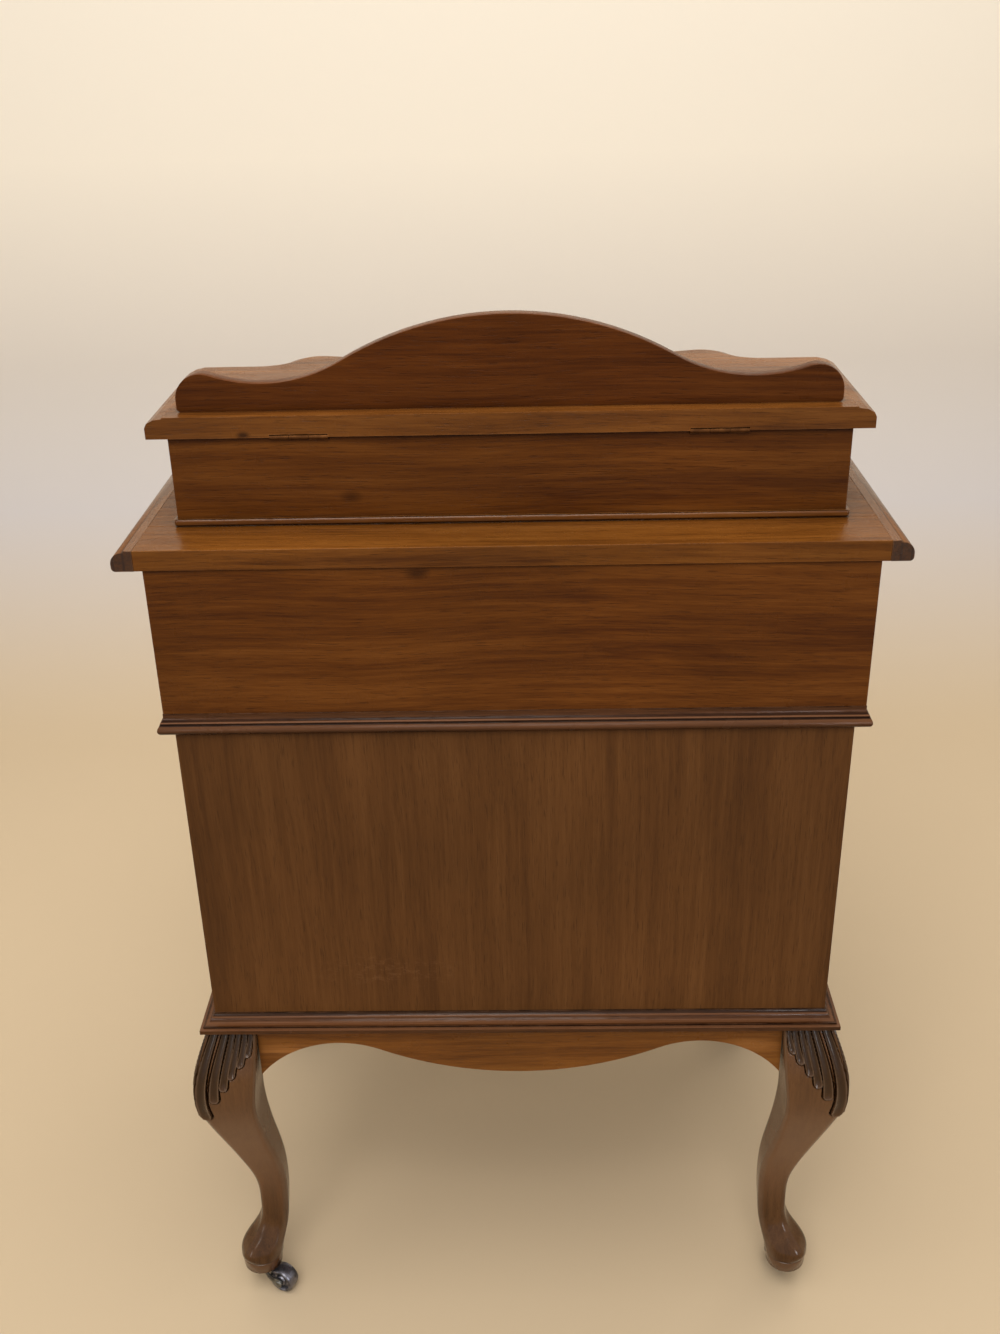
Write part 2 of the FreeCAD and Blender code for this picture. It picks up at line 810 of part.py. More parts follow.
def drawer(name, low, high):
    """A drawer front, its box and its knobs."""
    front_low = low + d.drawer_under_gap
    front_high = high - d.drawer_over_gap
    node(
        box(f"drawer_{name}_front", (x_face_inside, y_drawer_front, front_low),
            (carcass_half, y_drawer_back, front_high)),
        f"drawer_{name}_front",
    )
    box_high = front_high - d.drawer_wall_drop
    x_end = x_side_inside + d.drawer_end_gap
    tray = box(
        f"drawer_{name}_block",
        (x_end, y_drawer_front, front_low),
        (x_face_inside, y_drawer_back, box_high),
    )
    hollow = box(
        f"drawer_{name}_hollow",
        (x_end + d.drawer_wall, y_drawer_front + d.drawer_wall, front_low + d.drawer_bottom_thickness),
        (x_face_inside - d.drawer_wall, y_drawer_back - d.drawer_wall, box_high + d.drawer_wall),
    )
    node(cut(f"drawer_{name}_box", tray, [hollow]), f"drawer_{name}_box")
    knobs = knob_pair(f"drawer_{name}_knob", (front_low + front_high) / 2)
    node(group(f"drawer_{name}_knobs", knobs), f"drawer_{name}_knobs")
    return knobs


false_fronts = []
recesses = []
false_knobs = []
for drawer_name, (opening_low, opening_high) in OPENINGS.items():
    knobs = drawer(drawer_name, opening_low, opening_high)
    false_knobs += [mirror(f"false_{knob.Name}", knob, ACROSS) for knob in knobs]
    recesses.append(box(
        f"recess_{drawer_name}",
        (-carcass_half, y_front_inside, opening_low),
        (d.false_front_thickness - carcass_half, y_back_inside, opening_high),
    ))
    false_fronts.append(box(
        f"false_front_{drawer_name}",
        (-carcass_half, y_drawer_front, opening_low + d.drawer_under_gap),
        (d.false_front_thickness - carcass_half, y_drawer_back, opening_high - d.drawer_over_gap),
    ))
side_board = box(
    "carcass_side_board",
    (-carcass_half, y_front_inside, carcass_base),
    (x_side_inside, y_back_inside, carcass_top),
)
node(cut("carcass_side_left", side_board, recesses), "carcass_side_left")
node(group("false_drawer_fronts", false_fronts), "false_drawer_fronts")
node(group("false_drawer_knobs", false_knobs), "false_drawer_knobs")

# Scroll brackets that carry the overhanging slope box
bracket_reach = d.desk_depth - d.carcass_depth - d.bracket_set_back
bracket_corners = [
    (0, 0),
    (0, -d.bracket_height, d.bracket_toe_round, "right"),
    (-d.bracket_toe, d.bracket_toe_height - d.bracket_height, d.bracket_hollow_round, "left"),
    (d.bracket_curl - bracket_reach, -d.bracket_lip - d.bracket_curl, d.bracket_curl_round, "right"),
    (-bracket_reach, -d.bracket_lip),
    (-bracket_reach, 0),
]
bracket_right = padded(
    "bracket_right", "YZ_Plane", [bracket_corners], d.bracket_thickness,
    (carcass_half - d.bracket_inset, y_front, carcass_top), symmetric=True,
)
node(bracket_right, "bracket_right")
node(mirror("bracket_left", bracket_right, ACROSS), "bracket_left")

# Slope box: floor, back, sloping sides and low front
node(
    box("desk_floor", (-desk_half, y_desk_front, carcass_top), (desk_half, y_back, well_floor)),
    "desk_floor",
)
y_desk_mid = named("y_desk_mid", (y_back + y_desk_front) / 2)
waist_moulding = ring_moulding(
    "waist_moulding", desk_half, d.desk_depth / 2, waist_profile(desk_half), (0, y_desk_mid, carcass_top)
)
node(waist_moulding, "waist_moulding")
y_desk_back_inside = named("y_desk_back_inside", y_back - d.desk_back_thickness)
node(
    box("desk_back", (-desk_half, y_desk_back_inside, well_floor), (desk_half, y_back, top_under)),
    "desk_back",
)
inner_front = y_desk_front + d.desk_front_thickness


def slope_height(y):
    """Height of the slope's bearing edge above the well floor."""
    return d.desk_box_height - slope * (y_seam - y)


side_corners = [
    (inner_front - y_back, 0),
    (-d.desk_back_thickness, 0),
    (-d.desk_back_thickness, d.desk_box_height),
    (y_seam - y_back, d.desk_box_height),
    (inner_front - y_back, slope_height(inner_front)),
]
desk_side_right = padded(
    "desk_side_right", "YZ_Plane", [side_corners], d.desk_side_thickness,
    (desk_half - d.desk_side_thickness, y_back, well_floor),
)
node(desk_side_right, "desk_side_right")
node(mirror("desk_side_left", desk_side_right, ACROSS), "desk_side_left")
front_corners = [
    (0, 0),
    (d.desk_front_thickness, 0),
    (d.desk_front_thickness, slope_height(inner_front)),
    (0, slope_height(y_desk_front)),
]
desk_front = padded(
    "desk_front", "YZ_Plane", [front_corners], d.desk_width, (0, y_desk_front, well_floor), symmetric=True
)
node(desk_front, "desk_front")

# Butt hinges, drawn with the axis along X, the plates towards -Y and the fixed leaf below
barrel = d.hinge_barrel
plate_start = barrel + d.side_clearance
plate_end = plate_start + d.hinge_plate
notch_depth = barrel + d.hinge_bite
half_gap = d.seam_gap / 2
knuckle = named("knuckle", (d.hinge_length - 2 * d.side_clearance) / 3)
knuckle_step = named("knuckle_step", knuckle + d.side_clearance)
half_hinge = d.hinge_length / 2
stationery_hinge_across = box_half - d.stationery_hinge_inset
writing_hinge_across = strip_seam - d.writing_hinge_inset


def rod_along_x(name, radius, length, start):
    rod = cylinder(name, radius, length, (start, 0, 0))
    turn(rod, ALONG, 90)
    return rod


def hinge_leaf(name, side, knuckles, bore):
    """A plate on one side of the seam with the knuckles that it carries."""
    low = half_gap if side == "moving" else -half_gap - notch_depth
    high = low + notch_depth
    plate = box(f"{name}_plate", (-half_hinge, -plate_end, low), (half_hinge, -plate_start, high))
    pieces = [plate]
    for index in knuckles:
        start = index * knuckle_step - half_hinge
        pieces.append(rod_along_x(f"{name}_knuckle_{index}", barrel, knuckle, start))
        pieces.append(box(f"{name}_tongue_{index}", (start, -plate_start, low), (start + knuckle, 0, high)))
    hole = rod_along_x(f"{name}_bore", bore, d.hinge_length, -half_hinge)
    return cut(name, fuse(f"{name}_whole", pieces), [hole])


def butt_hinge(name, at, angle):
    """Fixed leaf, moving leaf and pin at one side of a lid, each with its mirrored twin."""
    pin_rod = rod_along_x(f"{name}_pin_rod", d.hinge_pin, d.hinge_length, -half_hinge)
    pieces = {
        "fixed": hinge_leaf(f"{name}_fixed_leaf", "fixed", (0, 2), d.hinge_pin),
        "moving": hinge_leaf(f"{name}_moving_leaf", "moving", (1,), d.hinge_pin + d.running_clearance),
        "pin": group(f"{name}_pin", [pin_rod]),
    }
    for kind, piece in pieces.items():
        place(piece, at)
        turn(piece, ACROSS, angle)
        pieces[kind] = [piece, mirror(f"{name}_{kind}_twin", piece, ACROSS)]
    return pieces


def hinge_notches(name, across, low, high):
    """Notches for a pair of hinges; low and high are (y, z) corners."""
    start, stop = across - half_hinge, across + half_hinge
    notch = box(f"{name}_notch", (start, *low), (stop, *high))
    return [notch, mirror(f"{name}_notch_twin", notch, ACROSS)]


# Desk top: two boards edge to edge and a moulded strip at each end
node(
    box("desk_top_rear_board", (-strip_seam, y_box_back, top_under), (strip_seam, y_top_back, top_level)),
    "desk_top_rear_board",
)
front_board = box(
    "desk_top_front_blank", (-strip_seam, y_seam, top_under), (strip_seam, y_box_back, top_level)
)
board_notches = hinge_notches(
    "desk_top", writing_hinge_across, (y_seam, top_level - plate_end),
    (y_seam + notch_depth, top_level),
)
node(cut("desk_top_front_board", front_board, board_notches), "desk_top_front_board")


def edge_profile(thickness):
    """A rounded foot with an ovolo and a small quirk above it."""
    return [
        (strip_seam, 0),
        (top_half - d.edge_foot_round, 0, d.edge_foot_round, "left"),
        (top_half, d.edge_foot_round),
        (top_half, d.edge_flat, d.edge_ovolo_round, "left"),
        (top_half - d.edge_ovolo_width, thickness - d.edge_quirk),
        (top_half - d.edge_ovolo_width, thickness),
        (strip_seam, thickness),
    ]


top_edge = padded(
    "desk_top_edge_right", "XZ_Plane", [edge_profile(d.desk_top_thickness)], d.flat_top_depth,
    (0, y_top_back, top_under),
)
node(group("desk_top_edges", [top_edge, mirror("desk_top_edge_left", top_edge, ACROSS)]), "desk_top_edges")

# Writing lid: a sloping board with a recess for the leather, and moulded strips at its ends
writing_thickness = named("writing_thickness", d.desk_top_thickness - d.seam_gap)
y_lid_rear = named("y_lid_rear", y_seam - d.seam_gap)
writing_length = named("writing_length", y_lid_rear - y_desk_front + d.writing_lid_overhang)
writing_at = (y_lid_rear, top_under + d.seam_gap - slope * d.seam_gap)
lid_corners = [
    (0, 0),
    (0, writing_thickness),
    (-writing_length, writing_thickness - slope * writing_length),
    (-writing_length, -slope * writing_length),
]


def recess_corners(depth, cover):
    """A layer let into the lid's upper face, from its bed to the cover height."""
    rear = -d.leather_rear_margin
    front = d.leather_front_margin - writing_length
    return [
        (rear, writing_thickness + slope * rear - depth),
        (rear, writing_thickness + slope * rear - depth + cover),
        (front, writing_thickness + slope * front - depth + cover),
        (front, writing_thickness + slope * front - depth),
    ]


lid_board = padded(
    "writing_lid_board", "YZ_Plane", [lid_corners], 2 * strip_seam, (0, *writing_at), symmetric=True
)
leather_bed = lid_board.newObject("PartDesign::Pocket", "leather_bed")
leather_bed.Profile = sketch_on(
    lid_board, "YZ_Plane", "leather_bed_outline", [recess_corners(d.leather_recess, 2 * d.leather_recess)]
)
leather_bed.SideType = "Symmetric"
bind(leather_bed, "Length", 2 * leather_half)
lid_notches = hinge_notches(
    "writing_lid", writing_hinge_across,
    (y_lid_rear - notch_depth, top_level - plate_end), (y_seam, top_level + barrel),
)
node(cut("writing_lid", lid_board, lid_notches), "writing_lid")
leather = padded(
    "writing_leather", "YZ_Plane", [recess_corners(d.leather_recess, d.leather_thickness)],
    2 * leather_half, (0, *writing_at), symmetric=True,
)
node(leather, "writing_leather")
lid_edge = padded(
    "writing_lid_edge_right", "XZ_Plane", [edge_profile(writing_thickness)], writing_length,
    (0, *writing_at),
)
lid_edge_pad = lid_edge.Tip
lid_edge_pad.UseCustomVector = True
lid_edge_pad.Direction = FreeCAD.Vector(0, -1, -slope.value)
bind(lid_edge_pad, "Direction.z", -slope)
node(
    group("writing_lid_edges", [lid_edge, mirror("writing_lid_edge_left", lid_edge, ACROSS)]),
    "writing_lid_edges",
)


# Stationery box plan: the serpentine runs from left to right along the front
def serpentine(half, offset):
    """Front edge moved out by the offset, as corners from left to right."""
    bulge = d.bulge_round + offset
    recess = recess_round - offset
    hollow = centre_round - offset
    to_recess = bulge / (d.bulge_round + recess_round)
    to_centre = bulge / (d.bulge_round + centre_round)
    recess_x = bulge_across + (recess_across - bulge_across) * to_recess
    recess_y = bulge_heart + (d.recess_depth + recess_round - bulge_heart) * to_recess
    centre_x = bulge_across - bulge_across * to_centre
    centre_y = bulge_heart + (d.centre_depth + centre_round - bulge_heart) * to_centre
    flat_y = d.recess_depth + offset
    return [
        (-half, -flat_y),
        (-recess_across, -flat_y, recess, "right"),
        (-recess_x, -recess_y, bulge, "left"),
        (-centre_x, -centre_y, hollow, "right"),
        (centre_x, -centre_y, bulge, "left"),
        (recess_x, -recess_y, recess, "right"),
        (recess_across, -flat_y),
        (half, -flat_y),
    ]


def reversed_run(corners):
    """The same run of lines and arcs travelled the other way."""
    other = {"left": "right", "right": "left"}
    run = []
    for index in range(len(corners) - 1, -1, -1):
        bend = corners[index - 1][2:] if index else ()
        run.append((*corners[index][:2], bend[0], other[bend[1]]) if bend else corners[index][:2])
    return run


def plan_outline(half, back, offset):
    """Closed plan with square back corners and the serpentine front."""
    return [(half, back), (-half, back), *serpentine(half, offset)]


def lid_plan(inset):
    """Plan of the lid with its front corners rounded, drawn in by the inset at sides and front."""
    half = lid_half - inset
    rounding = d.lid_corner_round - inset
    run = serpentine(half, d.lid_front_overhang - inset)
    front_y = run[0][1]
    return [
        (half, d.lid_back_overhang),
        (-half, d.lid_back_overhang),
        (-half, front_y + rounding, rounding, "left"),
        (rounding - half, front_y),
        *run[1:-1],
        (half - rounding, front_y, rounding, "left"),
        (half, front_y + rounding),
    ]


box_inside = box_half - d.stationery_board
y_box_inside = named("y_box_inside", y_box_back - d.stationery_board)
front_inside = d.recess_depth - d.stationery_board
back_board = box(
    "stationery_back_blank", (-box_half, y_box_inside, top_level), (box_half, y_box_back, lid_seat)
)
hinge_y = named("hinge_y", y_box_back + barrel)
back_notches = hinge_notches(
    "stationery_back", stationery_hinge_across,
    (hinge_y - plate_end, lid_seat - notch_depth), (y_box_back, lid_seat),
)
node(cut("stationery_back", back_board, back_notches), "stationery_back")
stationery_side = box(
    "stationery_side_right",
    (box_inside, y_box_back - front_inside, top_level), (box_half, y_box_inside, lid_seat),
)
node(stationery_side, "stationery_side_right")
node(mirror("stationery_side_left", stationery_side, ACROSS), "stationery_side_left")
front_outline = serpentine(box_half, 0) + reversed_run(serpentine(box_half, -d.stationery_board))
stationery_front = padded(
    "stationery_front", "XY_Plane", [front_outline], d.stationery_height, (0, y_box_back, top_level)
)
node(stationery_front, "stationery_front")
bead_loops = [
    plan_outline(box_half + d.bead_projection, d.bead_projection, d.bead_projection),
    plan_outline(box_half, 0, 0),
]
node(
    padded("stationery_bead", "XY_Plane", bead_loops, d.bead_height, (0, y_box_back, top_level)),
    "stationery_bead",
)
divider_across = box_half - d.divider_side_inset
divider = box(
    "divider_right",
    (divider_across, y_box_inside - d.divider_depth, top_level),
    (divider_across + d.divider_thickness, y_box_inside, top_level + d.divider_height),
)
node(group("stationery_dividers", [divider, mirror("divider_left", divider, ACROSS)]), "stationery_dividers")

# Stationery lid: a slab with a thumb moulding round its sides and front, and a quirk above it
THUMB_ANGLES = (30, 60, 90)
lid_flat = d.stationery_lid_thickness - d.lid_thumb_height - d.lid_quirk
thumb_top = lid_flat + d.lid_thumb_height
lid_slab = padded("lid_slab", "XY_Plane", [lid_plan(0)], lid_flat, (0, y_box_back, lid_under))
thumb = lid_slab.newObject("PartDesign::AdditiveLoft", "lid_thumb")
thumb.Profile = sketch_on(lid_slab, "XY_Plane", "lid_thumb_foot", [lid_plan(0)], lid_flat)
thumb_sections = []
for angle in THUMB_ANGLES:
    across, rise = 1 - math.cos(math.radians(angle)), math.sin(math.radians(angle))
    thumb_sections.append(
        sketch_on(
            lid_slab, "XY_Plane", f"lid_thumb_{angle}",
            [lid_plan(d.lid_thumb_width * across)], lid_flat + d.lid_thumb_height * rise,
        )
    )
thumb.Sections = thumb_sections
thumb.Ruled = True
lid_field = lid_slab.newObject("PartDesign::Pad", "lid_field")
lid_field.Profile = sketch_on(
    lid_slab, "XY_Plane", "lid_field_outline", [lid_plan(d.lid_thumb_width)], thumb_top
)
bind(lid_field, "Length", d.lid_quirk)
slab_notches = hinge_notches(
    "stationery_lid", stationery_hinge_across,
    (hinge_y - plate_end, lid_under), (y_lid_back + barrel, lid_under + notch_depth),
)
node(cut("stationery_lid", lid_slab, slab_notches), "stationery_lid")

# Gallery rail: crest, valleys and rounded ends
to_end = d.valley_round / (d.valley_round + d.gallery_end_round)
end_x = valley_across + (end_across - valley_across) * to_end
end_z = valley_heart + (end_heart - valley_heart) * to_end
to_valley = crest_round / (crest_round + d.valley_round)
rise_x = valley_across * to_valley
rise_z = crest_heart + (valley_heart - crest_heart) * to_valley
foot = d.gallery_foot_round
gallery_corners = [
    (foot - gallery_half, 0),
    (gallery_half - foot, 0, foot, "left"),
    (gallery_half, foot),
    (gallery_half, end_heart, d.gallery_end_round, "left"),
    (end_x, end_z, d.valley_round, "right"),
    (rise_x, rise_z, crest_round, "left"),
    (-rise_x, rise_z, d.valley_round, "right"),
    (-end_x, end_z, d.gallery_end_round, "left"),
    (-gallery_half, end_heart),
    (-gallery_half, foot, foot, "left"),
]
gallery = padded(
    "gallery_rail", "XZ_Plane", [gallery_corners], d.gallery_thickness,
    (0, y_lid_back - d.gallery_set_in, lid_top),
)
node(gallery, "gallery_rail")

# Hinges of both lids
stationery_hinges = butt_hinge(
    "stationery_hinge", (stationery_hinge_across, hinge_y, lid_seat + half_gap), 0
)
writing_hinges = butt_hinge(
    "writing_hinge", (writing_hinge_across, y_seam - half_gap, top_level), 90
)
node(group("hinge_fixed_leaves", stationery_hinges["fixed"] + writing_hinges["fixed"]), "hinge_fixed_leaves")
node(group("hinge_pins", stationery_hinges["pin"] + writing_hinges["pin"]), "hinge_pins")
node(group("stationery_hinge_leaves", stationery_hinges["moving"]), "stationery_hinge_leaves")
node(group("writing_hinge_leaves", writing_hinges["moving"]), "writing_hinge_leaves")

doc.recompute()
failed = [item.Name for item in doc.Objects if {"Invalid", "Error"} & set(item.State)]
if failed:
    raise RuntimeError(f"not built: {failed}")
for part in nodes:
    if part.Shape.isNull() or not part.Shape.isValid() or not part.Shape.Solids:
        raise RuntimeError(f"no valid solid: {part.Label}")

os.makedirs("parts", exist_ok=True)
for part in nodes:
    part.Shape.exportStep(f"parts/{part.Label}.step")
print(len(nodes), "pieces,", sum(len(part.Shape.Solids) for part in nodes), "solids")
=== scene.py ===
import json
import math

import bpy
from mathutils import Matrix, Vector


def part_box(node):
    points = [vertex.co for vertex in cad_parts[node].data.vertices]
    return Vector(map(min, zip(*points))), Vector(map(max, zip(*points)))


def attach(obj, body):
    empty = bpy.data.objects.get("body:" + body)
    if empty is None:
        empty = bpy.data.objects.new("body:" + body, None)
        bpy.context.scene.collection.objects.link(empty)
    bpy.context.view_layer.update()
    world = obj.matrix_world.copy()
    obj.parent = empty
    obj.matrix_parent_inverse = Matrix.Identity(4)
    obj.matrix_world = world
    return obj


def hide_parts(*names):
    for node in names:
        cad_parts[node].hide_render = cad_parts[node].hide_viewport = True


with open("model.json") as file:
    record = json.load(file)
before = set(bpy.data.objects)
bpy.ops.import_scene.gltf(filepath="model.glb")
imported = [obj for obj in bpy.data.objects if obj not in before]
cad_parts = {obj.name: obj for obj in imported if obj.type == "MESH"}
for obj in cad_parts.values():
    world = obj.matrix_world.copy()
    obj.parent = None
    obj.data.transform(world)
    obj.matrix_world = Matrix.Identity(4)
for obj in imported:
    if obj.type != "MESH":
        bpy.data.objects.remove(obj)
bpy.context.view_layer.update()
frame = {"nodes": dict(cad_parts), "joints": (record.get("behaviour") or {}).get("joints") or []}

NODES = frame["nodes"]
JOINTS = {joint["name"]: joint for joint in frame["joints"]}
SCENE = bpy.context.scene
MM = 0.001
UP = Vector((0, 0, 1))
AXES = {"x": 0, "y": 1, "z": 2}

# Rays that the edge and corner probes send out
PROBES = 6
# How far a probe's normal agrees with the true one on a flat place and on an arris
FLAT_TURN, ARRIS_TURN = 0.99, 0.82
# Share of open sky over an open place and over a sheltered one
OPEN_SKY, SHELTERED_SKY = 0.85, 0.3


# Shader building
class Shader:
    """The nodes of one material. Each call adds a node, links its inputs and gives an output back."""

    def __init__(self, name):
        self.material = bpy.data.materials.new(name)
        self.material.use_nodes = True
        self.tree = self.material.node_tree
        self.surface = self.tree.nodes["Principled BSDF"]

    def add(self, kind, inputs, out=0, **settings):
        made = self.tree.nodes.new("ShaderNode" + kind)
        for key, value in settings.items():
            setattr(made, key, value)
        for key, value in inputs.items():
            self.feed(made.inputs[key], value)
        return made.outputs[out]

    def feed(self, socket, value):
        if isinstance(value, bpy.types.NodeSocket):
            self.tree.links.new(value, socket)
        elif socket.type == "RGBA" and len(value) == 3:
            socket.default_value = (*value, 1)
        else:
            socket.default_value = value

    def set(self, **values):
        for key, value in values.items():
            self.feed(self.surface.inputs[key.replace("_", " ")], value)

    def place(self):
        return self.add("TexCoord", {}, out="Object")

    def vector(self, operation, first, second=(0, 0, 0), out=0):
        return self.add("VectorMath", {0: first, 1: second}, out=out, operation=operation)

    def length(self, vector):
        return self.vector("LENGTH", vector, out="Value")

    def axis(self, vector, name):
        return self.add("SeparateXYZ", {0: vector}, out=AXES[name])

    def math(self, operation, first, second=0.0):
        return self.add("Math", {0: first, 1: second}, operation=operation)

    def noise(self, vector, scale, detail=3.0, roughness=0.55, out="Fac"):
        inputs = {"Vector": vector, "Scale": scale, "Detail": detail, "Roughness": roughness}
        return self.add("TexNoise", inputs, out=out)

    def span(self, value, low, high, start=0.0, stop=1.0):
        inputs = {"Value": value, "From Min": low, "From Max": high, "To Min": start, "To Max": stop}
        return self.add("MapRange", inputs)

    def mix(self, share, first, second, blend="MIX"):
        return self.add("Mix", {0: share, 6: first, 7: second}, out=2, data_type="RGBA", blend_type=blend)

    def scaled(self, colour, share):
        """A colour made brighter or darker by a varying share."""
        return self.mix(1.0, colour, self.add("CombineColor", {0: share, 1: share, 2: share}), "MULTIPLY")

    def ramp(self, value, stops):
        made = self.tree.nodes.new("ShaderNodeValToRGB")
        points = made.color_ramp.elements
        while len(points) < len(stops):
            points.new(0.5)
        for point, (where, colour) in zip(points, stops):
            point.position = where
            point.color = (*colour, 1)
        self.feed(made.inputs[0], value)
        return made.outputs[0]

    def edges(self, radius):
        """How far the surface turns within a radius, from 0 on a flat place to 1 on a square arris."""
        rounded = self.add("Bevel", {"Radius": radius}, out="Normal", samples=PROBES)
        true = self.add("NewGeometry", {}, out="Normal")
        agreement = self.vector("DOT_PRODUCT", rounded, true, out="Value")
        return self.span(agreement, FLAT_TURN, ARRIS_TURN)

    def corners(self, distance):
        """How sheltered a place is, from 0 in the open to 1 in a tight corner."""
        open_share = self.add("AmbientOcclusion", {"Distance": distance}, out="AO", samples=PROBES)
        return self.span(open_share, OPEN_SKY, SHELTERED_SKY)

    def banded(self, height, bands, colour, deep, pale):
        """A colour taken towards a deep or a pale one by level: 0 is deep, 0.5 leaves it and 1 is pale."""
        low, high = bands[0][0], bands[-1][0]
        stops = [((level - low) / (high - low), (share, share, share)) for level, share in bands]
        share = self.ramp(self.span(height, low * MM, high * MM), stops)
        colour = self.mix(self.span(share, 0.5, 0.0), colour, deep)
        return self.mix(self.span(share, 0.5, 1.0), colour, pale)

    def bump(self, height, distance, strength):
        inputs = {"Height": height, "Distance": distance, "Strength": strength}
        self.feed(self.surface.inputs["Normal"], self.add("Bump", inputs, out="Normal"))


def along(grain, share):
    """Scale vector that draws a pattern out along the grain."""
    scale = [1.0, 1.0, 1.0]
    scale[AXES[grain]] = share
    return tuple(scale)


def darker(colour, share):
    return tuple(channel * share for channel in colour)


def pale_worn_and_lit(colour):
    """The paler wood where polish has worn thin, also used as a painted highlight."""
    return tuple(min(1.0, 1.7 * channel + 0.02) for channel in colour)


# Layers of the wood's figure: stretch along the grain, then the noise's scale, detail and roughness
GROWTH = (0.06, 38, 4, 0.6)
LINES = (0.03, 240, 4, 0.6)
FIBRES = (0.035, 900, 3, 0.6)
PORES = (0.045, 1500, 1, 0.5)
# Noise over the whole board, scale, detail and roughness: the grain's drift, broad tones, scuff flecks,
# end grain, worn patches and dullness
DRIFT_NOISE = (1.9, 2)
TONE_NOISE = (5.2, 2)
FLECK_NOISE = (130, 7, 0.75)
END_NOISE = (420, 4, 0.7)
WORN_NOISE = (55, 4, 0.6)
DULL_NOISE = (38, 4)
# Shares of growth, lines and fibres in the figure, and where it is dark, middling and light
FIGURE_SHARES = (0.46, 0.34, 0.2)
FIGURE_STOPS = (0.38, 0.5, 0.62)
# How far the grain wanders, in metres
WANDER = 0.03
# Shares of the dark tone that are left in pores, in knots and in the painted shade of quirks, in the
# carving's stain and painted shade, and in painted shade in corners, in grooves and in the darker bands
PORE_TONE, KNOT_AND_SHADE_TONE, HOLLOW_TONE, PAINTED_SHADE_TONE = 0.45, 0.35, 0.25, 0.3
# Painted highlight on the carving's rims and on the leg's inner faces
CREST = (0.16, 0.1, 0.062)
WORN_EDGE = 1.6 * MM
RELIEF_DEPTH = 0.3 * MM


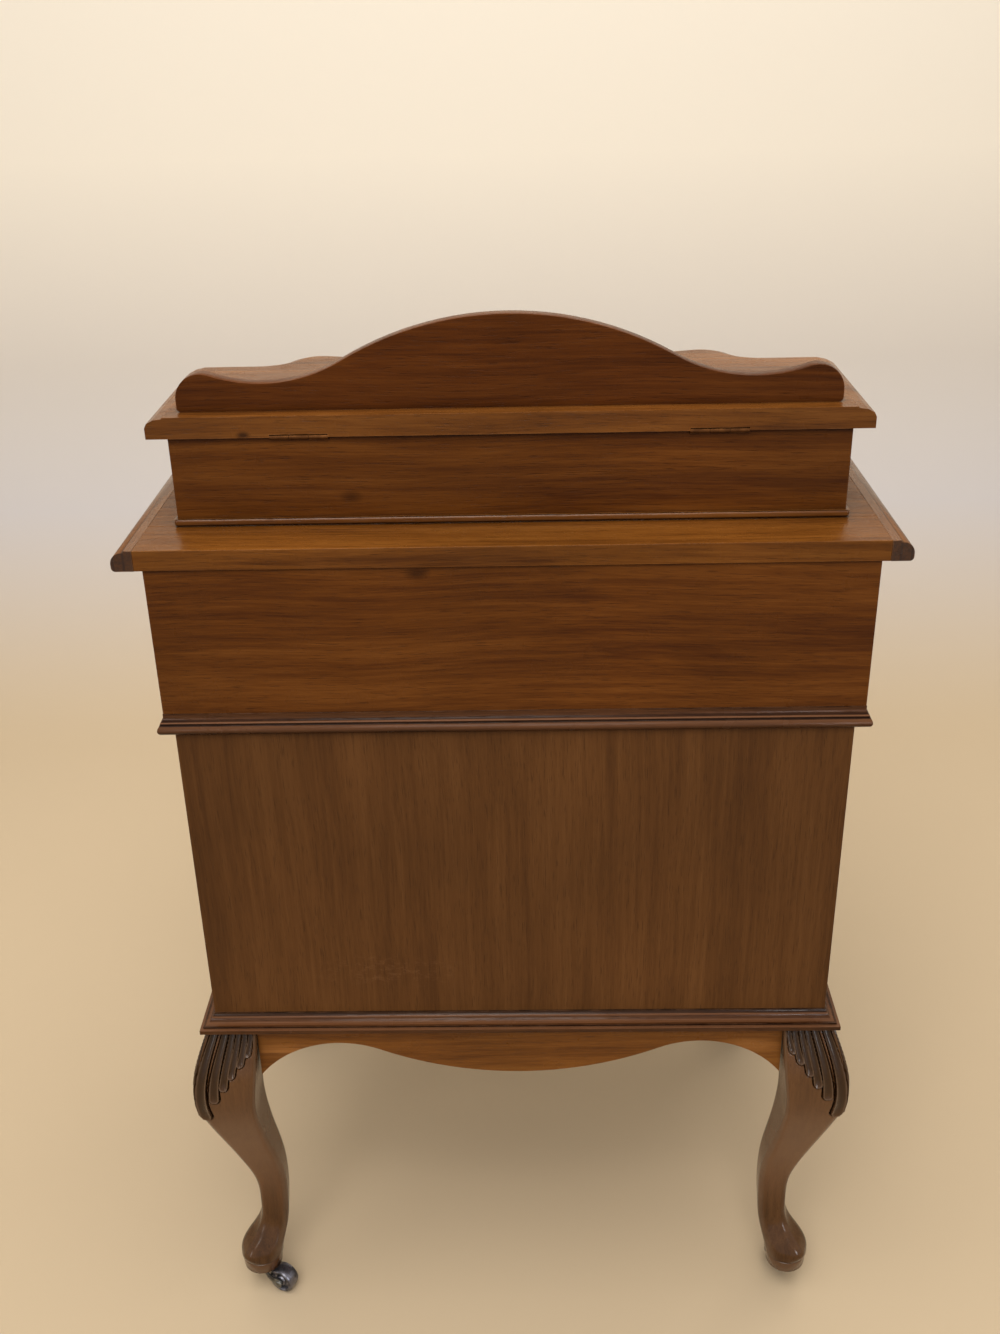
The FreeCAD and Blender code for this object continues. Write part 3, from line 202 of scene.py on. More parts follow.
def walnut(name, grain, tones, seed, rough=0.3, gloss=0.09, coat=0.0, grime_and_shade=0.72, shelter=7 * MM,
           wear=0.45, texture=0.4, knots=(), scuffs=(), sapwood=(), bands=(), quirks=(), carved=False,
           end_grain=False, sole=None):
    """Polished walnut: figure, growth lines, fibres and pores along one grain axis, with wear, painted
    shade in corners, quirks and grooves, and painted light and shade in bands and on carving.
    """
    dark, mid, light = tones
    knot_and_shade_tone, painted_shade_tone = darker(dark, KNOT_AND_SHADE_TONE), darker(dark, PAINTED_SHADE_TONE)
    s = Shader(name)
    at = s.place()
    drift = s.vector("SUBTRACT", s.noise(at, *DRIFT_NOISE, out="Color"), (0.5, 0.5, 0.5))
    bent = s.vector("ADD", at, s.vector("MULTIPLY", drift, (WANDER, WANDER, WANDER)))
    moved = s.vector("ADD", bent, (seed, seed * 1.7, seed * 0.6))

    def layer(stretch, scale, detail, roughness):
        return s.noise(s.vector("MULTIPLY", moved, along(grain, stretch)), scale, detail, roughness)

    def nearness(place, centre, reach):
        return s.length(s.vector("DIVIDE", s.vector("SUBTRACT", place, centre), reach))

    growth, lines, fibres = layer(*GROWTH), layer(*LINES), layer(*FIBRES)
    pored = s.span(layer(*PORES), 0.6, 0.72)
    shares = zip((growth, lines, fibres), FIGURE_SHARES)
    first, second, third = (s.math("MULTIPLY", part, share) for part, share in shares)
    figure = s.math("ADD", s.math("ADD", first, second), third)
    colour = s.ramp(figure, list(zip(FIGURE_STOPS, tones)))
    colour = s.scaled(colour, s.span(s.noise(at, *TONE_NOISE), 0.3, 0.7, 0.84, 1.16))
    colour = s.mix(s.math("MULTIPLY", pored, 0.45), colour, darker(dark, PORE_TONE))
    for centre, size, depth in knots:
        away = s.vector("MULTIPLY", s.vector("SUBTRACT", bent, centre), along(grain, 0.55))
        ring = s.span(s.length(away), size * 0.3, size, depth, 0.0)
        colour = s.mix(ring, colour, knot_and_shade_tone)
    for centre, reach, strength in sapwood:
        field = s.span(nearness(bent, centre, reach), 0.35, 1.0, strength, 0.0)
        colour = s.mix(s.math("MULTIPLY", field, s.span(lines, 0.36, 0.56)), colour, pale_worn_and_lit(light))
    for centre, reach, strength in scuffs:
        field = s.span(nearness(at, centre, reach), 0.3, 1.0, 1.0, 0.0)
        squeezed = s.vector("MULTIPLY", at, (1.0, 1.0, 1.8))
        flecks = s.span(s.noise(squeezed, *FLECK_NOISE), 0.5, 0.66)
        scuffed = s.math("MULTIPLY", s.math("MULTIPLY", field, flecks), strength)
        colour = s.mix(scuffed, colour, pale_worn_and_lit(light))
    if end_grain:
        facing = s.axis(s.add("NewGeometry", {}, out="Normal"), grain)
        ends = s.span(s.math("ABSOLUTE", facing), 0.8, 0.95)
        speckle = s.span(s.noise(at, *END_NOISE), 0.3, 0.7, 0.2, 0.6)
        colour = s.mix(ends, colour, s.scaled(mid, speckle))
    height = s.axis(at, "z")
    # Painted highlights and painted shade in bands by height
    if bands:
        colour = s.banded(height, bands, colour, painted_shade_tone, pale_worn_and_lit(light))
    # Painted shade along the quirks, as dark lines at given distances from the middle
    for reach, half in quirks:
        off = s.math("ABSOLUTE", s.math("SUBTRACT", s.math("ABSOLUTE", s.axis(at, "x")), reach))
        colour = s.mix(s.span(off, half, half * 2, 0.8, 0.0), colour, knot_and_shade_tone)
    patches = s.span(s.noise(at, *WORN_NOISE), 0.42, 0.62)
    worn = s.math("MULTIPLY", s.math("MULTIPLY", s.edges(WORN_EDGE), patches), wear)
    colour = s.mix(worn, colour, pale_worn_and_lit(light))
    # Darker stain and painted shade over the carving, deepest in its hollows and grooves
    if carved:
        depth = s.add("Attribute", {}, out="Fac", attribute_name="carve")
        crest = s.add("Attribute", {}, out="Fac", attribute_name="crest")
        colour = s.mix(depth, colour, darker(dark, HOLLOW_TONE))
        # Painted highlight on the carving's rims and on the leg's inner faces
        rims = s.math("MULTIPLY", crest, s.span(patches, 0.0, 1.0, 0.5, 0.8))
        colour = s.mix(rims, colour, CREST)
    # Paler wood below the sole's level, and painted shade in the groove between the foot and its sole
    if sole:
        colour = s.mix(s.span(height, sole - 0.3 * MM, sole, 0.5, 0.0), colour, pale_worn_and_lit(mid))
        off_line = s.math("ABSOLUTE", s.math("SUBTRACT", height, sole - 0.6 * MM))
        colour = s.mix(s.span(off_line, 0.4 * MM, 0.9 * MM, 0.85, 0.0), colour, painted_shade_tone)
    # Painted shade in corners, quirks and under edges, where little open sky reaches
    colour = s.mix(s.math("MULTIPLY", s.corners(shelter), grime_and_shade), colour, painted_shade_tone)
    surface = s.math("SUBTRACT", s.math("MULTIPLY", fibres, 0.3), s.math("MULTIPLY", pored, 0.7))
    dullness = s.span(s.noise(at, *DULL_NOISE), 0.3, 0.7, rough - 0.06, rough + 0.08)
    s.set(Base_Color=colour, Roughness=dullness, Specular_IOR_Level=gloss, Coat_Weight=coat,
          Coat_Roughness=0.12)
    s.bump(surface, RELIEF_DEPTH, texture)
    return s.material


def dress(names, material):
    for name in names:
        data = NODES[name].data
        data.materials.clear()
        data.materials.append(material)


# Walnut tones from dark streaks to light ones, as written linear colours
BACK = ((0.056, 0.0152, 0.0026), (0.108, 0.033, 0.0049), (0.158, 0.053, 0.0092))
CARCASS = ((0.078, 0.0302, 0.0085), (0.104, 0.0413, 0.0115), (0.129, 0.0532, 0.0158))
GALLERY = ((0.038, 0.0098, 0.002), (0.08, 0.0222, 0.0038), (0.12, 0.0365, 0.0065))
LID = ((0.066, 0.0205, 0.004), (0.132, 0.0445, 0.0078), (0.185, 0.068, 0.013))
RIM = ((0.058, 0.0172, 0.003), (0.116, 0.0375, 0.006), (0.165, 0.059, 0.0105))
TOP = ((0.07, 0.0212, 0.003), (0.136, 0.0455, 0.0067), (0.188, 0.069, 0.0117))
MOULDING = ((0.022, 0.0068, 0.0022), (0.066, 0.0228, 0.0066), (0.096, 0.0365, 0.0115))
APRON = ((0.1, 0.0318, 0.0048), (0.176, 0.0615, 0.0098), (0.245, 0.096, 0.0175))
LEG = ((0.056, 0.0228, 0.0068), (0.088, 0.0365, 0.0112), (0.118, 0.051, 0.017))
PALE = ((0.16, 0.085, 0.038), (0.26, 0.15, 0.07), (0.34, 0.21, 0.105))

BACK_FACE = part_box("carcass_back")[1].y
BOX_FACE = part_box("stationery_back")[1].y
LID_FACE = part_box("stationery_lid")[1].y
carcass_knots = [((0.0, BACK_FACE, 0.44), 0.005, 0.5)]
carcass_scuffs = [((0.105, BACK_FACE, 0.372), (0.075, 0.02, 0.02), 0.3)]
box_knots = [((0.111, BOX_FACE, 0.766), 0.006, 0.6)]
lid_knots = [((0.1885, LID_FACE, 0.8126), 0.0035, 0.85), ((-0.197, LID_FACE, 0.8215), 0.0045, 0.55)]
apron_sapwood = [((0.196, BACK_FACE, 0.289), (0.036, 0.03, 0.009), 0.55),
                 ((-0.196, BACK_FACE, 0.29), (0.034, 0.03, 0.009), 0.35)]
desk_knots = [((0.06, BACK_FACE, 0.7235), 0.006, 0.7), ((0.105, BACK_FACE, 0.637), 0.004, 0.4)]

# Levels in millimetres with painted light and shade, see Shader.banded: highlights on lit ledges and
# calves, shade in quirks, coves and towards the feet
BASE_BANDS = [
    (315.5, 0.35), (316.2, 0.5), (318.8, 0.5), (319.3, 0.75), (319.6, 0.75),
    (319.9, 0.1), (320.9, 0.1), (321.3, 0.72), (322.4, 0.7), (323.0, 0.45),
    (325.0, 0.4), (325.5, 0.85), (326.2, 0.85), (326.8, 0.2), (329.5, 0.1),
]
WAIST_BANDS = [
    (598.0, 0.45), (599.5, 0.5), (601.5, 0.66), (604.6, 0.7), (605.1, 0.05),
    (606.4, 0.1), (606.9, 0.85), (607.5, 0.85), (608.1, 0.2), (609.0, 0.25),
    (609.8, 0.58), (612.5, 0.58), (614.0, 0.4),
]
# On the legs a painted highlight on the calf and painted shade towards the foot and the knee's top
LEG_BANDS = [
    (38.0, 0.46), (60.0, 0.4), (74.0, 0.4), (90.0, 0.5), (112.0, 0.62), (140.0, 0.74),
    (165.0, 0.77), (190.0, 0.76), (228.0, 0.7), (242.0, 0.64), (280.0, 0.56), (316.0, 0.4),
]

gallery_wood = walnut("gallery_wood", "x", GALLERY, 0.31, gloss=0.07)
lid_wood = walnut("lid_wood", "x", LID, 1.7, rough=0.24, gloss=0.12, knots=lid_knots)
box_wood = walnut("box_wood", "x", BACK, 2.9, knots=box_knots)
top_wood = walnut("top_wood", "x", TOP, 4.3, rough=0.24, gloss=0.11)
# The desk top's edge strips get painted shade along their quirks
strip_wood = walnut("strip_wood", "y", RIM, 5.2, rough=0.24, gloss=0.3, shelter=5 * MM, end_grain=True,
                    quirks=[(0.2746, 0.6 * MM), (0.2822, 0.5 * MM)])
desk_wood = walnut("desk_wood", "x", BACK, 6.6, knots=desk_knots)
side_wood = walnut("side_wood", "y", BACK, 7.1)
carcass_wood = walnut("carcass_wood", "z", CARCASS, 8.4, rough=0.48, gloss=0.11, knots=carcass_knots,
                      scuffs=carcass_scuffs)
base_wood = walnut("base_wood", "x", MOULDING, 9.2, rough=0.22, gloss=0.17, shelter=2 * MM,
                   bands=BASE_BANDS)
waist_wood = walnut("waist_wood", "x", MOULDING, 9.4, rough=0.22, gloss=0.11, shelter=2 * MM,
                    bands=WAIST_BANDS)
# The bead gets deeper painted shade in the corner beneath it
bead_wood = walnut("bead_wood", "x", RIM, 9.7, rough=0.22, gloss=0.3, shelter=4 * MM, grime_and_shade=0.9)
apron_wood = walnut("apron_wood", "x", APRON, 10.4, gloss=0.17, sapwood=apron_sapwood)
bracket_wood = walnut("bracket_wood", "z", BACK, 10.9)
leg_wood = walnut("leg_wood", "z", LEG, 11.5, rough=0.17, gloss=0.28, grime_and_shade=0.5, wear=0.05,
                  texture=0.06, bands=LEG_BANDS, carved=True, sole=38.3 * MM)
drawer_wood = walnut("drawer_wood", "y", RIM, 12.1, rough=0.24, gloss=0.2, coat=0.06)
lining_wood = walnut("lining_wood", "x", PALE, 13.3, rough=0.6)
knob_wood = walnut("knob_wood", "x", GALLERY, 14.2, rough=0.22, gloss=0.35, coat=0.15)

CORNERS = {"back_right": (1, 1), "back_left": (-1, 1), "front_right": (1, -1), "front_left": (-1, -1)}
DRAWERS = ("top", "middle", "bottom")
dress(["gallery_rail"], gallery_wood)
dress(["stationery_lid"], lid_wood)
dress(["stationery_back", "stationery_front"], box_wood)
dress(["stationery_side_left", "stationery_side_right", "dust_boards"], side_wood)
dress(["desk_side_left", "desk_side_right"], side_wood)
dress(["desk_top_rear_board", "desk_top_front_board", "writing_lid"], top_wood)
dress(["desk_top_edges", "writing_lid_edges"], strip_wood)
dress(["desk_back", "desk_front", "desk_floor"], desk_wood)
dress(["carcass_back", "carcass_front", "carcass_side_left", "carcass_bottom"], carcass_wood)
dress(["base_moulding"], base_wood)
dress(["waist_moulding"], waist_wood)
dress(["stationery_bead"], bead_wood)
dress([f"apron_{side}" for side in ("back", "front", "left", "right")], apron_wood)
dress(["bracket_left", "bracket_right"], bracket_wood)
dress([f"drawer_{name}_front" for name in DRAWERS] + ["false_drawer_fronts"], drawer_wood)
dress([f"drawer_{name}_box" for name in DRAWERS] + ["stationery_dividers"], lining_wood)
dress([f"drawer_{name}_knobs" for name in DRAWERS] + ["false_drawer_knobs"], knob_wood)


# Noise of the metal's dull patches and of its pitted surface, and the depth of the pits in metres
DULL_METAL, PITTED_METAL = (130, 5, 0.6), (900, 3)
PIT_DEPTH = 0.2 * MM


def metal(name, colour, grime_and_shade, rough):
    """Worn metal: brighter on its rubbed parts and dull in patches."""
    s = Shader(name)
    at = s.place()
    patches = s.noise(at, *DULL_METAL)
    s.set(Base_Color=s.ramp(patches, [(0.35, grime_and_shade), (0.62, colour)]), Metallic=0.9,
          Roughness=s.span(patches, 0.3, 0.7, rough + 0.16, rough - 0.05))
    s.bump(s.noise(at, *PITTED_METAL), PIT_DEPTH, 0.4)
    return s.material


brass = metal("browned_brass", (0.11, 0.042, 0.011), (0.06, 0.022, 0.006), 0.5)
iron = metal("castor_metal", (0.2, 0.2, 0.19), (0.05, 0.046, 0.042), 0.36)
wheel_iron = metal("castor_wheel", (0.23, 0.23, 0.28), (0.055, 0.053, 0.058), 0.28)
dress(["hinge_fixed_leaves", "hinge_pins", "stationery_hinge_leaves", "writing_hinge_leaves"], brass)
dress([f"castor_fork_{corner}" for corner in CORNERS] + ["castor_stems"], iron)
dress([f"castor_wheel_{corner}" for corner in CORNERS], wheel_iron)

LEATHER_TONES = ((0.018, 0.045, 0.026), (0.045, 0.092, 0.05))
# Scale of the leather's grain, and noise of its wear and of the rubbed gilt
LEATHER_GRAIN, LEATHER_WEAR, GILT_WEAR = 900, (7, 4, 0.6), (60, 4)
LEATHER_DEPTH = 0.3 * MM
GILT = (0.42, 0.27, 0.08)
# How soft the edge of a gilt line is, in metres
GILT_EDGE = 0.3 * MM
# Distance of each gilt line from the leather's edge, and half its width, in metres
GILT_LINES = ((0.009, 0.0008), (0.0125, 0.0003), (0.024, 0.0004))


def leather():
    """Green skiver with a fine grain, faded wear and gilt tooled lines inside its border."""
    s = Shader("writing_leather")
    at = s.place()
    cells = s.add("TexVoronoi", {"Vector": at, "Scale": LEATHER_GRAIN}, out="Distance", feature="F1")
    wear = s.noise(at, *LEATHER_WEAR)
    colour = s.ramp(wear, list(zip((0.3, 0.7), LEATHER_TONES)))
    low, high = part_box("writing_leather")
    y = s.axis(at, "y")
    across = s.math("SUBTRACT", high[0], s.math("ABSOLUTE", s.axis(at, "x")))
    lengthwise = s.math("MINIMUM", s.math("SUBTRACT", y, low[1]), s.math("SUBTRACT", high[1], y))
    border = s.math("MINIMUM", across, lengthwise)
    for distance, half in GILT_LINES:
        off = s.math("ABSOLUTE", s.math("SUBTRACT", border, distance))
        line = s.span(off, half, half + GILT_EDGE, 0.85, 0.0)
        gilding = s.math("MULTIPLY", line, s.span(s.noise(at, *GILT_WEAR), 0.35, 0.55))
        colour = s.mix(gilding, colour, GILT)
    s.set(Base_Color=colour, Roughness=s.span(wear, 0.3, 0.7, 0.42, 0.56))
    s.bump(cells, LEATHER_DEPTH, 0.5)
    return s.material


dress(["writing_leather"], leather())


# Softened edges on the sawn boards: corners closer than the gap are joined, sharper edges are rounded
WELD_GAP = 0.02 * MM
SOFT_ANGLE = 40


def soften(names, width, segments=2):
    for name in names:
        node = NODES[name]
        weld = node.modifiers.new("joined_corners", "WELD")
        weld.merge_threshold = WELD_GAP
        bevel = node.modifiers.new("rubbed_edges", "BEVEL")
        bevel.width = width
        bevel.segments = segments
        bevel.limit_method = "ANGLE"
        bevel.angle_limit = math.radians(SOFT_ANGLE)
        bevel.harden_normals = True


soften(["stationery_bead"], 2.2 * MM, 4)
soften(["gallery_rail", "stationery_lid", "desk_top_edges", "writing_lid_edges"], 1.1 * MM)
soften(["desk_top_rear_board", "desk_top_front_board", "writing_lid"], 0.5 * MM)
soften(["desk_back", "desk_side_left", "desk_side_right", "desk_front"], 0.7 * MM)
soften(["carcass_back", "carcass_front", "carcass_side_left"], 0.7 * MM)
soften(["stationery_back", "stationery_side_left", "stationery_side_right"], 0.7 * MM)
soften([f"apron_{side}" for side in ("back", "front", "left", "right")], 0.9 * MM)
soften(["bracket_left", "bracket_right"], 0.9 * MM)
soften([f"drawer_{name}_front" for name in DRAWERS] + ["false_drawer_fronts"], 0.9 * MM)
soften([f"drawer_{name}_box" for name in DRAWERS] + ["dust_boards", "stationery_dividers"], 0.5 * MM)
soften(["base_moulding", "waist_moulding"], 0.4 * MM)


# Mesh building
def mesh_piece(name, points, faces, material, body, node, smooth):
    """A piece that rides a body in a node's place, smooth over edges below an angle in degrees."""
    mesh = bpy.data.meshes.new(name)
    mesh.from_pydata(points, [], faces)
    mesh.validate()
    mesh.shade_smooth()
    mesh.set_sharp_from_angle(angle=math.radians(smooth))
    mesh.materials.append(material)
    piece = bpy.data.objects.new(name, mesh)
    SCENE.collection.objects.link(piece)
    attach(piece, body)
    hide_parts(node)
    return piece


def spline(stations, values):
    """A natural cubic through the values, as a function of the station."""
    count = len(stations)
    gaps = [stations[i + 1] - stations[i] for i in range(count - 1)]
    slopes = [(values[i + 1] - values[i]) / gaps[i] for i in range(count - 1)]
    bends, ratios = [0.0], [0.0]
    for i in range(1, count - 1):
        pivot = 2 * (gaps[i - 1] + gaps[i]) - gaps[i - 1] * ratios[i - 1]
        ratios.append(gaps[i] / pivot)
        bends.append((6 * (slopes[i] - slopes[i - 1]) - gaps[i - 1] * bends[i - 1]) / pivot)
    curves = [0.0] * count
    for i in range(count - 2, 0, -1):
        curves[i] = bends[i] - ratios[i] * curves[i + 1]

    def value(at):
        i = 0
        while i < count - 2 and at > stations[i + 1]:
            i += 1
        t, gap = at - stations[i], gaps[i]
        first = slopes[i] - gap * (2 * curves[i] + curves[i + 1]) / 6
        return values[i] + t * (first + t * (curves[i] / 2 + t * (curves[i + 1] - curves[i]) / (6 * gap)))

    return value


# Cabriole legs: level above the floor, reach out of and in from the carcass corner,
# and the rounding of the outer ridge, the two side corners and the inner corner
LEG_LEVELS = [
    (38.5, 8.6, -30.1, 18.9, 18.9, 18.9),
    (45.0, 7.8, -30.5, 11.0, 17.0, 17.0),
    (64.0, -6.0, -34.7, 6.5, 11.0, 11.0),
    (88.0, -12.7, -37.6, 5.2, 9.0, 8.5),
    (112.0, -13.0, -38.7, 5.0, 8.5, 8.5),
    (150.0, -5.0, -37.3, 5.5, 7.0, 8.5),
    (183.0, 5.5, -33.0, 7.0, 5.5, 9.0),
    (212.0, 15.0, -30.0, 8.5, 4.2, 10.0),
    (240.0, 22.0, -29.0, 9.0, 4.0, 10.0),
    (268.0, 21.5, -31.5, 8.0, 4.0, 9.0),
    (297.0, 13.3, -33.4, 5.0, 3.5, 6.0),
    (315.5, 6.5, -34.0, 3.0, 3.0, 3.0),
]
STAND_TOP = 315.5
# Each toe turns from the corner's diagonal towards the desk's back or front, in degrees,
# all the way below the first level and not at all above the second
TOE_TURN = 17
TOE_TURN_LEVELS = (52, 108)
FOOT_SHIFT = -10.5
# Rings of the sole under the foot: level and radius
SOLE = ((38.1, 18.0), (37.3, 17.8), (36.6, 18.5), (25.4, 17.6), (24.6, 16.9))
base_low, base_high = (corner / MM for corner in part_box("carcass_bottom"))
CORNER_X, CORNER_Y = base_high.x, base_high.y
MIDDLE_Y = (base_low.y + base_high.y) / 2
# Acanthus lobes on each side of the ridge: distance from the ridge at the top and at the tip,
# drop of the tip below the stand's top, half width and height above the sunk ground
LOBES = [
    (35.7, 39.5, 23.0, 3.0, 2.4),
    (31.0, 35.4, 32.0, 3.4, 2.8),
    (26.2, 29.8, 42.0, 3.7, 3.2),
    (21.2, 24.6, 53.0, 4.1, 3.6),
    (15.2, 16.6, 65.5, 4.8, 4.0),
    (6.0, 5.2, 86.0, 5.7, 5.2),
]
GROUND_DEPTH = -2.0
# Depth of the knee that may be carved, and how far from the ridge
CARVED_DROP = 100.0
CARVED_REACH = 48
# Share of a lobe's width at its root and what it gains at its tip
LOBE_ROOT, LOBE_GAIN = 0.6, 0.42
# Hollow along a lobe's middle, its rim's place and half width, and where the sunk ground ends beyond it
FLUTE_DEPTH = 0.62
RIM_AT, RIM_HALF = 0.76, 0.2
GROUND_END = 1.22
# Least stain and painted shade in the carving, and how much of it the raised parts lose
STAIN_AND_SHADE_LEAST, STAIN_AND_SHADE_FALL = 0.5, 0.58
# Painted highlight on the leg's inner faces
INNER_CREST = 0.7
# Steps between the leg's rings, where it is carved and below that
CARVED_STEP, PLAIN_STEP = 0.7, 2.0
# Points along the leg's flat faces, round its ridge's halves and round its other corners
FLAT_STEPS = (110, 16, 16, 110)
RIDGE_STEPS, CORNER_STEPS = 12, 10


def smooth_step(value, low, high):
    t = min(1.0, max(0.0, (value - low) / (high - low)))
    return t * t * (3 - 2 * t)


def carving(ridge_distance, drop):
    """How far the knee's carving stands out, how dark its stain and painted shade are, and how strong the
    painted highlight on its rims is.
    """
    height, relief, cover, crest = 0.0, 0.0, 0.0, 0.0
    for top, tip, reach, half, full in LOBES:
        cap = reach - half
        t = min(drop / cap, 1.0)
        centre = top + (tip - top) * (1 - (1 - t) ** 2)
        off = math.hypot(ridge_distance - centre, max(0.0, drop - cap))
        s = off / (half * (LOBE_ROOT + LOBE_GAIN * t))
        cover = max(cover, 1 - smooth_step(s, 1.0, GROUND_END))
        if s < 1.0:
            flute = FLUTE_DEPTH * (1 - s * s) * (1 - 0.5 * smooth_step(drop / reach, 0.85, 1.0))
            swell = (0.6 + 0.4 * t) * (1 - flute) * (1 - smooth_step(s, 0.84, 1.0))
            height = max(height, full * swell)
            relief = max(relief, swell)
            # Painted highlight along each lobe's rim
            crest = max(crest, max(0.0, 1 - abs(s - RIM_AT) / RIM_HALF) * (0.3 + 0.7 * t))
    # Stain and painted shade over the carving, lighter on its raised parts
    stain_and_shade = cover * max(STAIN_AND_SHADE_LEAST, 1.0 - STAIN_AND_SHADE_FALL * relief)
    return cover * GROUND_DEPTH + height, stain_and_shade, crest


def leg_ring(level, splines):
    """Points round the leg at a level, each with its outward direction and distance from the ridge."""
    out, inward, ridge, side, inner = (curve(level) for curve in splines)
    limit = (out - inward) / 2 - 0.01
    ridge, side, inner = (min(r, limit) for r in (ridge, side, inner))
    corners = [
        ((out - ridge, out - ridge), ridge, 45, 90, RIDGE_STEPS),
        ((inward + side, out - side), side, 90, 180, CORNER_STEPS),
        ((inward + inner, inward + inner), inner, 180, 270, CORNER_STEPS),
        ((out - side, inward + side), side, 270, 360, CORNER_STEPS),
        ((out - ridge, out - ridge), ridge, 360, 405, RIDGE_STEPS),
    ]
    ring = []
    for index, ((x, y), radius, start, stop, steps) in enumerate(corners):
        for step in range(steps + 1):
            angle = math.radians(start + (stop - start) * step / steps)
            nx, ny = math.cos(angle), math.sin(angle)
            ring.append((x + radius * nx, y + radius * ny, nx, ny))
        if index < len(FLAT_STEPS):
            x, y, nx, ny = ring[-1]
            (next_x, next_y), next_radius, next_start, _, _ = corners[index + 1]
            angle = math.radians(next_start)
            end_x = next_x + next_radius * math.cos(angle)
            end_y = next_y + next_radius * math.sin(angle)
            for step in range(1, FLAT_STEPS[index]):
                share = step / FLAT_STEPS[index]
                ring.append((x + (end_x - x) * share, y + (end_y - y) * share, nx, ny))
    ring.pop()
    turn = math.radians(TOE_TURN) * (1 - smooth_step(level, *TOE_TURN_LEVELS))
    middle, cos, sin = (out + inward) / 2, math.cos(turn), math.sin(turn)

    def turned(x, y):
        return x * cos - y * sin, x * sin + y * cos

    placed = []
    for x, y, nx, ny in ring:
        x, y = turned(x - middle, y - middle)
        placed.append((middle + x, middle + y, *turned(nx, ny)))
    travelled, total = [0.0], 0.0
    for a, b in zip(placed, placed[1:]):
        total += math.hypot(b[0] - a[0], b[1] - a[1])
        travelled.append(total)
    total += math.hypot(placed[0][0] - placed[-1][0], placed[0][1] - placed[-1][1])
    return [(*point, min(d, total - d)) for point, d in zip(placed, travelled)]


def leg_mesh():
    """One leg about the carcass corner: points in millimetres, faces, the carving's stain and painted
    shade, and the painted highlight on its rims and inner faces.
    """
    stations = [row[0] for row in LEG_LEVELS]
    splines = [spline(stations, [row[column] for row in LEG_LEVELS]) for column in range(1, 6)]
    levels = [STAND_TOP - CARVED_STEP * step for step in range(int(CARVED_DROP / CARVED_STEP) + 1)]
    while levels[-1] > LEG_LEVELS[0][0] + PLAIN_STEP:
        levels.append(levels[-1] - PLAIN_STEP)
    levels[-1] = LEG_LEVELS[0][0]
    points, shades, crests = [], [], []
    for level in levels:
        drop = STAND_TOP - level
        for x, y, nx, ny, distance in leg_ring(level, splines):
            # Inner faces of the leg get a painted highlight, and the carving its stain, painted shade and
            # painted rim highlight
            shade, crest = 0.0, INNER_CREST * smooth_step(max(-nx, -ny), 0.4, 0.8)
            if drop < CARVED_DROP and distance < CARVED_REACH:
                rise, shade, rim = carving(distance, drop)
                crest = max(crest, rim)
                x, y = x + rise * nx, y + rise * ny
            points.append((x, y, level))
            shades.append(shade)
            crests.append(crest)
    around = len(points) // len(levels)
    for level, radius in SOLE:
        for index in range(around):
            x, y = points[(len(levels) - 1) * around + index][:2]
            angle = math.atan2(y - FOOT_SHIFT, x - FOOT_SHIFT)
            x, y = FOOT_SHIFT + radius * math.cos(angle), FOOT_SHIFT + radius * math.sin(angle)
            points.append((x, y, level))
            shades.append(0.0)
            crests.append(0.0)
    rows = len(levels) + len(SOLE)
    faces = []
    for row in range(rows - 1):
        for index in range(around):
            after = (index + 1) % around
            faces.append((row * around + index, (row + 1) * around + index,
                          (row + 1) * around + after, row * around + after))
    faces.append(tuple(range(around)))
    faces.append(tuple((rows - 1) * around + index for index in range(around - 1, -1, -1)))
    return points, faces, {"carve": shades, "crest": crests}


def build_legs():
    points, faces, looks = leg_mesh()
    for corner, (side, end) in CORNERS.items():
        placed = []
        for x, y, z in points:
            depth = CORNER_Y - MIDDLE_Y + y
            placed.append((side * (CORNER_X + x) * MM, (MIDDLE_Y + end * depth) * MM, z * MM))
        turned = faces if side * end > 0 else [face[::-1] for face in faces]
        leg = mesh_piece(f"carved_leg_{corner}", placed, turned, leg_wood, "carcass",
                         f"leg_{corner}", smooth=40)
        for name, values in looks.items():
            leg.data.attributes.new(name, "FLOAT", "POINT").data.foreach_set("value", values)


build_legs()


# Castors, each about its swivel and its axle as the frame's joints place them

# Outlines as distance along the axis and radius, in millimetres
WHEEL_HALF = [(6.4, 2.6), (6.4, 4.4), (5.9, 5.0), (4.2, 5.6), (4.0, 8.2), (5.4, 9.0), (6.6, 9.6),
              (7.0, 10.4), (6.6, 11.5), (4.8, 12.3), (2.2, 12.5)]
AXLE_CAP = [(6.8, 3.4), (9.9, 3.4), (10.4, 3.0), (10.7, 2.0), (10.75, 0.0)]
CROWN = [(19.3, 3.4), (19.3, 9.2), (19.8, 9.9), (21.4, 9.9), (22.0, 9.3), (22.0, 3.4)]
HORN_STEPS, HORN_SIDES = 16, 14
# An arm's start behind the swivel and length, its top and fall, and its place beside the wheel and spread
HORN_START, HORN_LENGTH = 1.0, 24.5
HORN_TOP, HORN_FALL = 20.4, 8.2
HORN_NEAR, HORN_SPREAD = 5.2, 3.4
HORN_HALF_WIDTH, HORN_WAIST, HORN_EYE = 4.6, 1.3, 1.1
HORN_HALF_DEPTH = 1.25
# Share of the arm's length where its round end begins
HORN_END = 0.85


def spun(profile, closed, steps=48):
    """Points and faces of an outline of (along, radius) turned about an axis, before it is placed."""
    points, faces = [], []
    for length, radius in profile:
        for step in range(steps):
            angle = 2 * math.pi * step / steps
            points.append((length, radius * math.cos(angle), radius * math.sin(angle)))
    rows = len(profile)
    for row in range(rows if closed else rows - 1):
        below, above = row * steps, (row + 1) % rows * steps
        for step in range(steps):
            after = (step + 1) % steps
            faces.append((below + step, below + after, above + after, above + step))
    return points, faces


